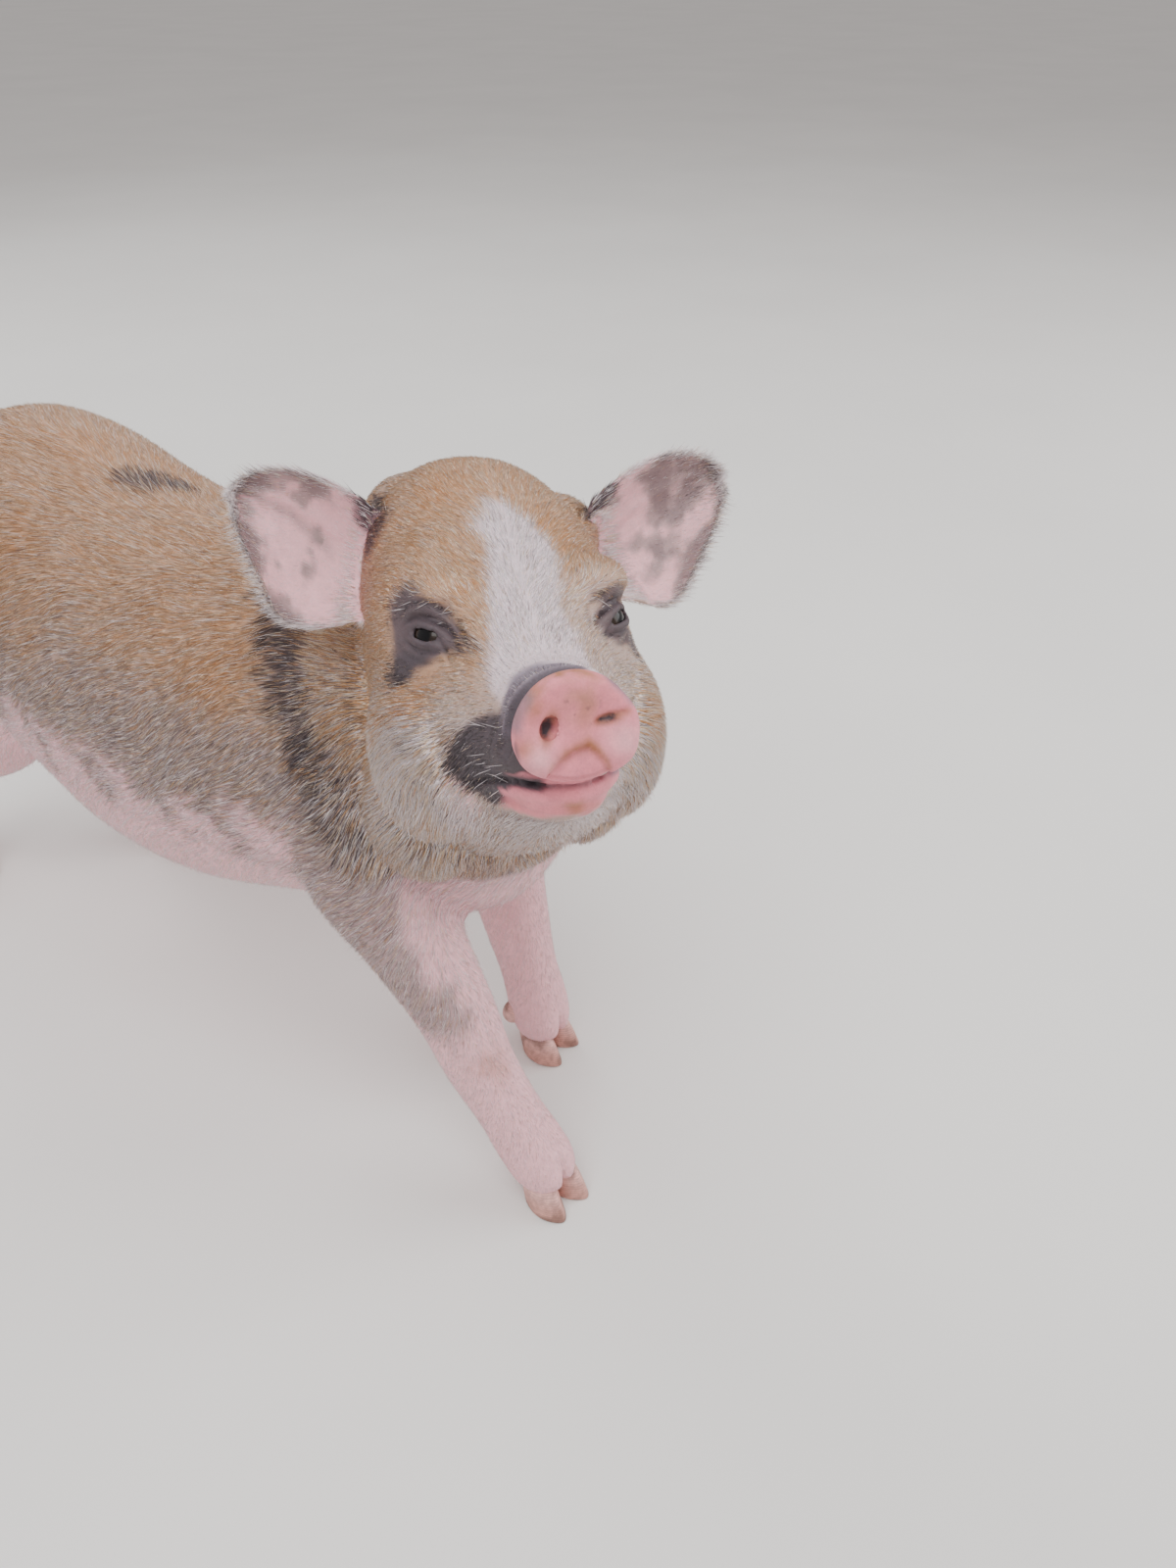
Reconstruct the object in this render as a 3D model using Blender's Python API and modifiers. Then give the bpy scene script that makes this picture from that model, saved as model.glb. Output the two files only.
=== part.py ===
"""A young spotted miniature pig, standing with its head raised, as a life-size still model.

Metres, +Z up. The pig faces -Y, +X is its left side, and its claws stand on z = 0.
The origin is on the floor, under the middle of the model's box.
"""

import math

import bmesh
import bpy
import numpy as np
from mathutils import Matrix, Vector

# Driving sizes
EYE_RADIUS = 0.0085
EAR_LENGTHS = {-1: 0.060, 1: 0.062}
EAR_WIDTH = 0.050
EAR_THICKNESS = 0.0030
CLAW_LENGTH = 0.021
CLAW_WIDTH = 0.0118
CLAW_HEIGHT = 0.0150
MOUTH_OPENING = 0.0012
GAP = 0.0003

# Where the head joins the neck, which way it looks, and its size against the stations below
HEAD_JOINT = Vector((0.0024, -0.0368, 0.220))
HEAD_YAW = math.radians(38)
HEAD_PITCH = math.radians(19)
HEAD_ROLL = math.radians(-2)
HEAD_SIZE = 0.93
CROWN_LEAN = 0.09

# Moves the model so that its box is centred on the origin
FRAME_SHIFT = Vector((0.0056, -0.0867, 0.0))

# The fineness of the fused body, and how much of it is kept
VOXEL = 0.0028
SMOOTH_PASSES = 5
KEEP_SHARE = 0.044

# Each station of the trunk: place along the back, top, bottom, half width
TRUNK = (
    (-0.062, 0.180, 0.140, 0.020),
    (-0.054, 0.202, 0.124, 0.036),
    (-0.034, 0.230, 0.115, 0.050),
    (-0.006, 0.246, 0.108, 0.061),
    (0.032, 0.246, 0.098, 0.069),
    (0.078, 0.240, 0.084, 0.073),
    (0.124, 0.241, 0.081, 0.073),
    (0.162, 0.248, 0.090, 0.070),
    (0.200, 0.258, 0.107, 0.068),
    (0.235, 0.256, 0.125, 0.063),
    (0.262, 0.232, 0.145, 0.050),
    (0.276, 0.202, 0.165, 0.026),
)
TRUNK_WIDEST = 0.45
TRUNK_SQUARENESS = 2.08

# Each station of the head: place ahead of its joint, top, bottom, half width
SKULL = (
    (-0.040, 0.042, -0.046, 0.030),
    (-0.026, 0.058, -0.062, 0.040),
    (-0.004, 0.070, -0.068, 0.0448),
    (0.020, 0.0740, -0.068, 0.0460),
    (0.038, 0.069, -0.065, 0.0460),
    (0.053, 0.059, -0.060, 0.0440),
    (0.068, 0.045, -0.053, 0.0400),
    (0.082, 0.031, -0.046, 0.0335),
    (0.095, 0.021, -0.038, 0.0265),
    (0.106, 0.015, -0.030, 0.0205),
    (0.113, 0.009, -0.022, 0.0120),
)
SKULL_WIDEST = 0.47
SKULL_SQUARENESS = 2.3

# Each station of the muzzle: place, middle height, half width, half height
MUZZLE = (
    (0.060, 0.000, 0.0180, 0.0180),
    (0.080, 0.000, 0.0200, 0.0195),
    (0.100, 0.0016, 0.0182, 0.0170),
    (0.118, 0.0024, 0.0166, 0.0150),
    (0.128, 0.0024, 0.0166, 0.0148),
    (0.1345, 0.0024, 0.0170, 0.0150),
    (0.1365, 0.0024, 0.0160, 0.0142),
)
DISC_BACK = 0.1285
DISC = (
    (0.1288, 0.0024, 0.0158, 0.0144),
    (0.1310, 0.0024, 0.0170, 0.0154),
    (0.1345, 0.0024, 0.0177, 0.0159),
    (0.1372, 0.0024, 0.0175, 0.0157),
    (0.1385, 0.0024, 0.0164, 0.0146),
    (0.1388, 0.0024, 0.0142, 0.0126),
)

# Each station of the lower jaw: place, middle height, half width, half height
JAW = (
    (0.040, -0.040, 0.026, 0.0200),
    (0.070, -0.034, 0.024, 0.0170),
    (0.095, -0.0265, 0.0195, 0.0130),
    (0.112, -0.0228, 0.0155, 0.0094),
    (0.122, -0.0214, 0.0122, 0.0072),
    (0.127, -0.0208, 0.0070, 0.0048),
)

# Rounded forms that differ between right and left: the turned head bunches its right side up
SIDE_LUMPS = (
    ("jowl", (0.018, -0.0295, -0.0490), (0.034, 0.0225, 0.0265)),
    ("jowl", (0.020, 0.0245, -0.0430), (0.034, 0.0205, 0.0250)),
    ("poll", (0.004, -0.0228, 0.0475), (0.030, 0.0205, 0.0230)),
    ("poll", (0.008, 0.0280, 0.0420), (0.024, 0.0160, 0.0180)),
)

# The line of the mouth, from the middle to the pig's left corner
MOUTH = ((0.1300, 0.000, -0.0156), (0.1270, 0.0084, -0.0152), (0.1190, 0.0155, -0.0150),
         (0.1070, 0.0208, -0.0170), (0.0940, 0.0256, -0.0215))
EYE_PLACE = (0.0697, 0.0252, 0.0195)
EAR_ROOT = (0.016, 0.0400, 0.0325)
EAR_LIFT = {-1: math.radians(18), 1: math.radians(11)}
EAR_LOBE = {-1: (0.0056, 0.61), 1: (0.0032, 0.50)}
NOSTRIL = (0.1390, 0.0080, 0.0034)

# Leg stations: across, along, height, half width, half depth
FORELEG_LEFT = (
    (0.038, 0.010, 0.170, 0.026, 0.034),
    (0.042, 0.004, 0.140, 0.026, 0.031),
    (0.041, -0.001, 0.115, 0.0215, 0.0240),
    (0.038, -0.010, 0.088, 0.0165, 0.0180),
    (0.036, -0.018, 0.062, 0.0140, 0.0150),
    (0.035, -0.024, 0.043, 0.0128, 0.0130),
    (0.034, -0.029, 0.028, 0.0138, 0.0135),
    (0.033, -0.033, 0.016, 0.0135, 0.0125),
    (0.033, -0.034, 0.009, 0.0100, 0.0090),
)
FORELEG_RIGHT = (
    (-0.038, 0.000, 0.170, 0.025, 0.032),
    (-0.042, -0.017, 0.142, 0.0235, 0.0275),
    (-0.041, -0.031, 0.120, 0.0195, 0.0215),
    (-0.039, -0.047, 0.092, 0.0155, 0.0165),
    (-0.037, -0.057, 0.065, 0.0138, 0.0142),
    (-0.034, -0.068, 0.043, 0.0128, 0.0130),
    (-0.032, -0.076, 0.028, 0.0138, 0.0135),
    (-0.031, -0.084, 0.016, 0.0135, 0.0125),
    (-0.031, -0.086, 0.009, 0.0100, 0.0090),
)
HINDLEG_LEFT = (
    (0.036, 0.216, 0.180, 0.030, 0.046),
    (0.042, 0.214, 0.152, 0.029, 0.045),
    (0.044, 0.215, 0.124, 0.0240, 0.0360),
    (0.042, 0.227, 0.096, 0.0180, 0.0240),
    (0.040, 0.241, 0.073, 0.0145, 0.0170),
    (0.038, 0.241, 0.051, 0.0128, 0.0138),
    (0.037, 0.237, 0.032, 0.0136, 0.0136),
    (0.036, 0.231, 0.016, 0.0135, 0.0125),
    (0.036, 0.229, 0.009, 0.0100, 0.0090),
)
HINDLEG_RIGHT = (
    (-0.036, 0.218, 0.180, 0.030, 0.046),
    (-0.042, 0.222, 0.152, 0.029, 0.045),
    (-0.045, 0.236, 0.125, 0.0240, 0.0350),
    (-0.047, 0.264, 0.098, 0.0180, 0.0235),
    (-0.049, 0.290, 0.075, 0.0145, 0.0165),
    (-0.051, 0.300, 0.052, 0.0128, 0.0138),
    (-0.053, 0.302, 0.032, 0.0136, 0.0136),
    (-0.054, 0.299, 0.016, 0.0135, 0.0125),
    (-0.054, 0.297, 0.009, 0.0100, 0.0090),
)
LEG_SQUARENESS = 2.2

# Each foot: across, along, and how far it turns out
FEET = {
    "front_left": (0.033, -0.0370, math.radians(4)),
    "front_right": (-0.031, -0.0890, math.radians(-3)),
    "hind_left": (0.036, 0.2260, math.radians(6)),
    "hind_right": (-0.054, 0.2940, math.radians(-6)),
}

COLOURS = {
    "coat": ((0.60, 0.40, 0.27, 1), 0.85),
    "pink": ((0.78, 0.50, 0.44, 1), 0.60),
    "horn": ((0.42, 0.28, 0.22, 1), 0.50),
    "eye": ((0.03, 0.02, 0.02, 1), 0.12),
}


def clear_scene():
    """Removes what a new file holds."""
    for obj in list(bpy.data.objects):
        bpy.data.objects.remove(obj, do_unlink=True)


def spline(rows, count):
    """Reads a smooth Catmull-Rom curve through the rows at count even steps."""
    rows = np.asarray(rows, float)
    padded = np.vstack([2 * rows[0] - rows[1], rows, 2 * rows[-1] - rows[-2]])
    at = np.linspace(0, len(rows) - 1, count)
    first = np.minimum(at.astype(int), len(rows) - 2)
    t = (at - first)[:, None]
    a, b, c, d = (padded[first + k] for k in range(4))
    cubic = (3 * b - a - 3 * c + d) * t**3
    return 0.5 * (2 * b + (c - a) * t + (2 * a - 5 * b + 4 * c - d) * t**2 + cubic)


def loft_mesh(name, rings):
    """A closed mesh through rings of equal length, with a pole at each end."""
    count, sides = rings.shape[:2]
    points = np.vstack([rings.reshape(-1, 3), rings[0].mean(0), rings[-1].mean(0)])
    start, end = count * sides, count * sides + 1
    faces = []
    for i in range(count - 1):
        for j in range(sides):
            k = (j + 1) % sides
            faces.append((i * sides + j, i * sides + k, (i + 1) * sides + k, (i + 1) * sides + j))
    last = (count - 1) * sides
    for j in range(sides):
        k = (j + 1) % sides
        faces.append((start, k, j))
        faces.append((end, last + j, last + k))
    mesh = bpy.data.meshes.new(name)
    mesh.from_pydata(points.tolist(), [], faces)
    return turned_out(mesh)


def turned_out(mesh):
    """Turns every face of a closed mesh outward."""
    tidy = bmesh.new()
    tidy.from_mesh(mesh)
    bmesh.ops.remove_doubles(tidy, verts=tidy.verts, dist=0.00002)
    bmesh.ops.recalc_face_normals(tidy, faces=tidy.faces)
    if tidy.calc_volume(signed=True) < 0:
        bmesh.ops.reverse_faces(tidy, faces=tidy.faces)
    tidy.to_mesh(mesh)
    tidy.free()
    return mesh


def section_rings(middles, side, up, half_width, above, below, sides, squareness):
    """Rings of a superellipse at each middle, with unlike heights above and below it."""
    angle = np.linspace(0, 2 * math.pi, sides, endpoint=False)
    cosine, sine = np.cos(angle), np.sin(angle)
    power = 2 / squareness
    across = np.sign(cosine) * np.abs(cosine) ** power
    upright = np.sign(sine) * np.abs(sine) ** power
    height = np.where(sine > 0, above[:, None], below[:, None]) * upright
    return (
        middles[:, None, :]
        + (half_width[:, None] * across)[..., None] * side[:, None, :]
        + height[..., None] * up[:, None, :]
    )


def unit(rows):
    return rows / np.linalg.norm(rows, axis=-1, keepdims=True)


def head_matrix():
    """Turns the head's own axes (ahead, left, up) and place into the model's."""
    axes = turned_axes(HEAD_YAW, HEAD_PITCH, HEAD_ROLL)
    return Matrix.Translation(HEAD_JOINT) @ axes @ Matrix.Scale(HEAD_SIZE, 4)


def trunk_mesh(rings=36, sides=40):
    rows = spline(TRUNK, rings)
    along, top, bottom, half_width = rows.T
    middle = bottom + TRUNK_WIDEST * (top - bottom)
    middles = np.stack([np.zeros(rings), along, middle], 1)
    side = np.tile((1.0, 0, 0), (rings, 1))
    up = np.tile((0, 0, 1.0), (rings, 1))
    above, below = top - middle, middle - bottom
    shape = section_rings(middles, side, up, half_width, above, below, sides, TRUNK_SQUARENESS)
    return loft_mesh("trunk", shape)


def skull_mesh(rings=24, sides=32):
    """The head's loft, whose stations give top, bottom and half width."""
    ahead, top, bottom, half_width = spline(SKULL, rings).T
    middle = bottom + SKULL_WIDEST * (top - bottom)
    middles = np.stack([ahead, np.zeros(rings), middle], 1)
    side = np.tile((0, 1.0, 0), (rings, 1))
    up = np.tile((0, 0, 1.0), (rings, 1))
    above, below = top - middle, middle - bottom
    shape = section_rings(middles, side, up, half_width, above, below, sides, SKULL_SQUARENESS)
    shape[..., 1] -= CROWN_LEAN * np.maximum(shape[..., 2], 0)
    return loft_mesh("skull", shape)


def round_mesh(name, stations, squareness=2.1, rings=14, sides=28):
    """A loft along the head's axis, whose stations give a middle, half width and half height."""
    ahead, middle, half_width, half_height = spline(stations, rings).T
    middles = np.stack([ahead, np.zeros(rings), middle], 1)
    side = np.tile((0, 1.0, 0), (rings, 1))
    up = np.tile((0, 0, 1.0), (rings, 1))
    shape = section_rings(middles, side, up, half_width, half_height, half_height, sides, squareness)
    return loft_mesh(name, shape)


def leg_mesh(name, stations, grow=0.0, rings=30, sides=20):
    """A leg, or with grow the region that parts it from the trunk."""
    rows = spline(stations, rings)
    middles = rows[:, :3]
    side = np.tile((1.0, 0, 0), (rings, 1))
    back = unit(np.cross(side, np.gradient(middles, axis=0)))
    half_width, half_depth = rows[:, 3] + grow, rows[:, 4] + grow
    shape = section_rings(middles, side, back, half_width, half_depth, half_depth, sides, LEG_SQUARENESS)
    return loft_mesh(name, shape)


def region_mesh(name, stations, grow, rings=16, sides=14):
    """The space that a leg fills, in level sections: wider than the leg, and domed at its top."""
    rows = [list(row) for row in stations[1:]]
    top, low = rows[0], rows[-1]
    dome = []
    for rise, share in ((0.024, 0.10), (0.021, 0.50), (0.012, 0.86)):
        dome.append([top[0], top[1], top[2] + rise, top[3] * share, top[4] * share])
    for row in rows[-2:]:
        row[3:] = (0.019, 0.021)
    foot = [low[0], low[1], low[2] - 0.018, 0.019, 0.021]
    rows = spline(dome + rows + [foot], rings)
    rows[:, 2] += grow * np.linspace(1, -1, rings)
    slope = np.gradient(rows[:, 1]) / np.gradient(rows[:, 2])
    half_width = rows[:, 3] + 0.0055 + grow
    half_depth = rows[:, 4] * np.sqrt(1 + slope**2) + 0.0055 + grow * (1 + 2 * np.abs(slope))
    side = np.tile((1.0, 0, 0), (rings, 1))
    back = np.tile((0, 1.0, 0), (rings, 1))
    middles = rows[:, :3]
    shape = section_rings(middles, side, back, half_width, half_depth, half_depth, sides, LEG_SQUARENESS)
    return loft_mesh(name, shape)


def neck_mesh(rings=20, sides=32):
    """The neck runs from inside the shoulders into the back of the head."""
    place = head_matrix()
    back_of_head = place @ Vector((0.012, 0, -0.010))
    chest = Vector((0, 0.010, 0.160))
    middle = (chest + back_of_head) / 2 + Vector((0, -0.010, 0.002))
    ends = (
        (*chest, 0.056, 0.074, 0.055),
        (*middle, 0.048, 0.078, 0.056),
        (*back_of_head, 0.042, 0.070, 0.052),
    )
    rows = spline(ends, rings)
    blend = np.linspace(0, 1, rings)[:, None]
    left = np.array(place.to_3x3().col[1])
    side = (1 - blend) * np.array((1.0, 0, 0)) + blend * unit(left)
    tangent = unit(-np.gradient(rows[:, :3], axis=0))
    up = unit(np.cross(side, tangent))
    side = unit(np.cross(tangent, up))
    shape = section_rings(rows[:, :3], side, up, rows[:, 3], rows[:, 4], rows[:, 5], sides, 2.1)
    return loft_mesh("neck", shape)


def ellipsoid_mesh(name, middle, radii, turn=None, segments=24):
    """A round lump, from a unit sphere that is scaled, turned and moved."""
    mesh = bpy.data.meshes.new(name)
    lump = bmesh.new()
    place = Matrix.Translation(middle) @ (turn or Matrix.Identity(4)) @ Matrix.Diagonal((*radii, 1))
    bmesh.ops.create_uvsphere(
        lump, u_segments=segments, v_segments=segments * 2 // 3, radius=1, matrix=place
    )
    lump.to_mesh(mesh)
    lump.free()
    return mesh


def face_lumps():
    """The brows, cheeks, jowls and lips, in the head's own axes."""
    lumps = []
    for sign in (-1, 1):
        lumps.append(ellipsoid_mesh("brow", (0.058, sign * 0.0260, 0.0320), (0.021, 0.0135, 0.0095)))
        lumps.append(ellipsoid_mesh("cheek", (0.050, sign * 0.0305, -0.0180), (0.034, 0.0200, 0.0330)))
        lumps.append(ellipsoid_mesh("lip", (0.104, sign * 0.0145, -0.0085), (0.024, 0.0075, 0.0080)))
    for name, middle, radii in SIDE_LUMPS:
        lumps.append(ellipsoid_mesh(name, middle, radii))
    return lumps


def placed(mesh, matrix):
    """Moves a mesh by a matrix and keeps its faces turned out, also where the matrix mirrors."""
    mesh.transform(matrix)
    if matrix.determinant() < 0:
        mesh.flip_normals()
    return mesh


def joined_mesh(name, meshes):
    """One mesh holding several closed ones."""
    whole = bmesh.new()
    for mesh in meshes:
        whole.from_mesh(mesh)
        bpy.data.meshes.remove(mesh)
    mesh = bpy.data.meshes.new(name)
    whole.to_mesh(mesh)
    whole.free()
    return mesh


def body_mesh():
    """The trunk, neck, head and legs as closed forms that cross each other."""
    place = head_matrix()
    head = [skull_mesh(), round_mesh("muzzle", MUZZLE), round_mesh("jaw", JAW)] + face_lumps()
    for mesh in head:
        mesh.transform(place)
    legs = [leg_mesh(name, stations) for name, stations in LEG_STATIONS.items()]
    return joined_mesh("body", [trunk_mesh(), neck_mesh()] + head + legs)


LEG_STATIONS = {
    "front_left": FORELEG_LEFT,
    "front_right": FORELEG_RIGHT,
    "hind_left": HINDLEG_LEFT,
    "hind_right": HINDLEG_RIGHT,
}


def box_mesh(name, low, high, place):
    """A box between two corners, in the axes of place."""
    mesh = bpy.data.meshes.new(name)
    box = bmesh.new()
    size = Vector(high) - Vector(low)
    middle = (Vector(high) + Vector(low)) / 2
    matrix = place @ Matrix.Translation(middle) @ Matrix.Diagonal((*size, 1))
    bmesh.ops.create_cube(box, size=1, matrix=matrix)
    box.to_mesh(mesh)
    box.free()
    return mesh


def turned_axes(yaw, pitch, roll=0.0):
    """Axes ahead, to the left and up, turned to the pig's right by yaw and raised by pitch."""
    level = math.cos(pitch)
    ahead = Vector((-math.sin(yaw) * level, -math.cos(yaw) * level, math.sin(pitch)))
    left = Vector((math.cos(yaw), -math.sin(yaw), 0))
    left.rotate(Matrix.Rotation(roll, 3, ahead))
    return Matrix((ahead, left, ahead.cross(left))).transposed().to_4x4()


def head_region(grow):
    """The space of the head: ahead of the plane behind its ears and jowls."""
    place = Matrix.Translation(HEAD_JOINT) @ turned_axes(math.radians(25), math.radians(24))
    return box_mesh("head_region", (-0.010 - grow, -0.10, -0.084 - grow), (0.22, 0.10, 0.12), place)


def front_region(grow):
    """The space of the head and neck: ahead of the plane from the withers to the chest."""
    place = Matrix.Translation((0, -0.026, 0.176)) @ turned_axes(math.radians(8), math.radians(32))
    return box_mesh("front_region", (-grow, -0.16, -0.16), (0.30, 0.16, 0.16), place)


def mouth_mesh():
    """The cut that parts the lips: a thin ribbon along the line of the mouth."""
    half = spline(MOUTH, 10)
    line = np.vstack([(half * (1, -1, 1))[:0:-1], half])
    tangent = unit(np.gradient(line, axis=0))
    outward = unit(np.cross(tangent, np.tile((0, 0, 1.0), (len(line), 1))))
    outward *= np.sign((outward * (line - (0.09, 0, -0.02))).sum(1, keepdims=True))
    up = unit(np.cross(tangent, outward))
    up *= np.sign(up[:, 2:])
    count = len(line)
    thick = np.full(count, MOUTH_OPENING / 2)
    wide = np.full(count, 0.0065)
    shape = section_rings(line, outward, up, wide, thick, thick, 6, 2.0)
    return loft_mesh("mouth", shape)


def lip_mesh(name, drop, inset, radius):
    """A soft roll along one lip."""
    half = spline(MOUTH, 9)
    half = half * (1, 1, 1) + (inset, 0, drop)
    half[:, 1] += inset * np.linspace(0, 1, 9)
    line = np.vstack([(half * (1, -1, 1))[:0:-1], half])
    tangent = unit(np.gradient(line, axis=0))
    up = np.tile((0, 0, 1.0), (len(line), 1))
    outward = unit(np.cross(tangent, up))
    fade = np.sin(np.linspace(0.25, math.pi - 0.25, len(line))) ** 0.5 * radius
    shape = section_rings(line, outward, up, fade, fade, fade, 8, 2.0)
    return loft_mesh(name, shape)


def eye_frame(sign):
    """The eye's own axes: out of the head, toward the back corner, and up the lids."""
    out = Vector((0.62, sign * 0.72, 0.30)).normalized()
    back = Vector((-1, 0, -0.10))
    back = (back - back.project(out)).normalized()
    up = out.cross(back) * sign
    if up.z < 0:
        up = -up
    axes = Matrix((out, back, up)).transposed().to_4x4()
    return Matrix.Translation(Vector((EYE_PLACE[0], sign * EYE_PLACE[1], EYE_PLACE[2]))) @ axes


def almond_mesh(name, half_length, half_height, near, far):
    """The opening between the lids, as a prism along the eye's outward axis."""
    angle = np.linspace(0, 2 * math.pi, 20, endpoint=False)
    across = half_length * np.cos(angle)
    upright = half_height * np.sign(np.sin(angle)) * np.abs(np.sin(angle)) ** 1.5
    rings = [
        np.stack([np.full(20, depth), across * scale, upright * scale], 1)
        for depth, scale in ((near, 0.9), (far, 1.25))
    ]
    return loft_mesh(name, np.array(rings))


def lid_mesh(name, half_length, half_height, radius, depth):
    """A roll of skin around the opening of the eye."""
    count = 18
    angle = np.linspace(0, 2 * math.pi, count, endpoint=False)
    ring = np.stack(
        [
            depth - 0.0016 * np.cos(angle) ** 2,
            half_length * np.cos(angle),
            half_height * np.sin(angle),
        ],
        1,
    )
    outward = unit(ring * (0, 1, 1.6))
    turn = np.linspace(0, 2 * math.pi, 6, endpoint=False)
    tube = (
        ring[:, None, :]
        + radius * np.cos(turn)[None, :, None] * outward[:, None, :]
        + radius * np.sin(turn)[None, :, None] * np.array((1.0, 0, 0))
    )
    faces = []
    for i in range(count):
        for j in range(6):
            k, m = (j + 1) % 6, (i + 1) % count
            faces.append((i * 6 + j, i * 6 + k, m * 6 + k, m * 6 + j))
    mesh = bpy.data.meshes.new(name)
    mesh.from_pydata(tube.reshape(-1, 3).tolist(), [], faces)
    return turned_out(mesh)


def ear_frame(sign):
    """The ear's own axes: along it, across it, and out of its cup."""
    lift = EAR_LIFT[sign]
    along = Vector((-0.10, sign * math.cos(lift), math.sin(lift))).normalized()
    facing = Vector((0.86, sign * -0.10, 0.10))
    facing = (facing - facing.project(along)).normalized()
    across = facing.cross(along)
    if across.z < 0:
        across = -across
    axes = Matrix((along, across, facing)).transposed().to_4x4()
    root = Vector((EAR_ROOT[0], sign * EAR_ROOT[1], EAR_ROOT[2]))
    return Matrix.Translation(root) @ axes


def ear_mesh(name, sign, lengths=12, widths=9):
    """A leaf that is cupped along its middle, thick at its root and thin at its rim.

    Over the leaf, s runs from root to tip and t from the lower edge to the upper one.
    """
    s = np.linspace(0, 0.99, lengths)[:, None]
    t = np.linspace(-1, 1, widths)[None, :]
    half = EAR_WIDTH / 2 * (1 - s**2.6) ** 0.62 * (0.66 + 1.05 * s - 0.72 * s**2)
    along = EAR_LENGTHS[sign] * (1.0 * s - 0.16 + 0.0 * t)
    lobe, place = EAR_LOBE[sign]
    lobe = lobe * np.exp(-(((s - place) / 0.16) ** 2)) * np.minimum(t, 0)
    upper = 0.34 * EAR_WIDTH * s**1.5
    across = half * t + upper + lobe
    curl = 0.016 * (1 - s) ** 0.8 + 0.0045
    facing = curl * t**2 + 0.010 * s**2 - 0.004
    thick = EAR_THICKNESS * (1 - 0.45 * s) * (1 - 0.75 * t**4)
    grids = []
    for half_thick in (thick / 2, -thick / 2):
        grids.append(np.stack([along + 0 * t, across, facing + half_thick], -1))
    count = lengths * widths
    points = np.concatenate([grid.reshape(-1, 3) for grid in grids])
    faces = []
    for i in range(lengths - 1):
        for j in range(widths - 1):
            a = i * widths + j
            faces.append((a, a + 1, a + widths + 1, a + widths))
            faces.append((count + a, count + a + widths, count + a + widths + 1, count + a + 1))
    rim = [j for j in range(widths)] + [i * widths + widths - 1 for i in range(1, lengths)]
    rim += [(lengths - 1) * widths + j for j in range(widths - 2, -1, -1)]
    rim += [i * widths for i in range(lengths - 2, 0, -1)]
    for a, b in zip(rim, rim[1:] + rim[:1]):
        faces.append((a, count + a, count + b, b))
    mesh = bpy.data.meshes.new(name)
    mesh.from_pydata(points.tolist(), [], faces)
    mesh.transform(head_matrix() @ ear_frame(sign))
    return turned_out(mesh)


def claw_mesh(name, foot, sign, grow=0.0):
    """One claw: a flat sole, a toe that leans back, and a top sunk into the leg."""
    across, along, turn = FEET[foot]
    levels = (0.0, 0.0014, 0.0085, 0.0130, CLAW_HEIGHT)
    lengths = (0.94, 1.0, 0.94, 0.80, 0.52)
    widths = (0.90, 1.0, 0.96, 0.84, 0.60)
    leans = (0.0, 0.0, 0.0022, 0.0040, 0.0055)
    angle = np.linspace(0, 2 * math.pi, 14, endpoint=False)
    rings = []
    for level, length, width, lean in zip(levels, lengths, widths, leans):
        ahead = (CLAW_LENGTH / 2 * length + grow) * np.cos(angle)
        toe = 1 - 0.30 * np.clip(np.cos(angle), 0, 1) ** 2
        aside = (CLAW_WIDTH / 2 * width + grow) * np.sin(angle) * toe
        height = level + (grow if level > 0.01 else -grow if level == 0 else 0)
        rings.append(np.stack([aside, lean - ahead, np.full(14, height)], 1))
    mesh = loft_mesh(name, np.array(rings))
    splay = math.radians(5) * sign
    mesh.transform(Matrix.Translation((sign * (CLAW_WIDTH / 2 + 0.0006), 0, 0)) @ Matrix.Rotation(splay, 4, "Z"))
    mesh.transform(Matrix.Translation((across, along, 0)) @ Matrix.Rotation(turn, 4, "Z"))
    return mesh


def dewclaw_mesh(name, foot, sign, grow=0.0):
    """A small claw behind the fetlock, pointing down and back."""
    across, along, turn = FEET[foot]
    profile = ((0.0060, 0.0022), (0.0020, 0.0040), (-0.0030, 0.0036), (-0.0064, 0.0016))
    angle = np.linspace(0, 2 * math.pi, 9, endpoint=False)
    rings = [
        np.stack(
            [(r + grow) * np.cos(angle), (r * 1.2 + grow) * np.sin(angle), np.full(9, h + math.copysign(grow, h))],
            1,
        )
        for h, r in profile
    ]
    mesh = loft_mesh(name, np.array(rings))
    mesh.transform(Matrix.Rotation(math.radians(24), 4, "X"))
    behind = 0.0150 if foot.startswith("front") else 0.0160
    mesh.transform(Matrix.Translation((sign * 0.0078, behind, 0.0215)))
    mesh.transform(Matrix.Translation((across, along, 0)) @ Matrix.Rotation(turn, 4, "Z"))
    return mesh


TAIL = (
    (0.000, 0.254, 0.202, 0.0080),
    (0.000, 0.274, 0.198, 0.0062),
    (0.002, 0.287, 0.184, 0.0046),
    (0.004, 0.291, 0.158, 0.0036),
    (0.006, 0.289, 0.131, 0.0032),
    (0.008, 0.287, 0.108, 0.0044),
    (0.009, 0.287, 0.092, 0.0040),
    (0.010, 0.288, 0.082, 0.0014),
)


def tail_mesh(grow=0.0, rings=16, sides=8):
    """A thin hanging tail that ends in a small brush."""
    rows = spline(TAIL, rings)
    middles = rows[:, :3]
    side = np.tile((1.0, 0, 0), (rings, 1))
    back = unit(np.cross(side, np.gradient(middles, axis=0)))
    radius = rows[:, 3] + grow
    shape = section_rings(middles, side, back, radius, radius, radius, sides, 2.0)
    return loft_mesh("tail", shape)


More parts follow.
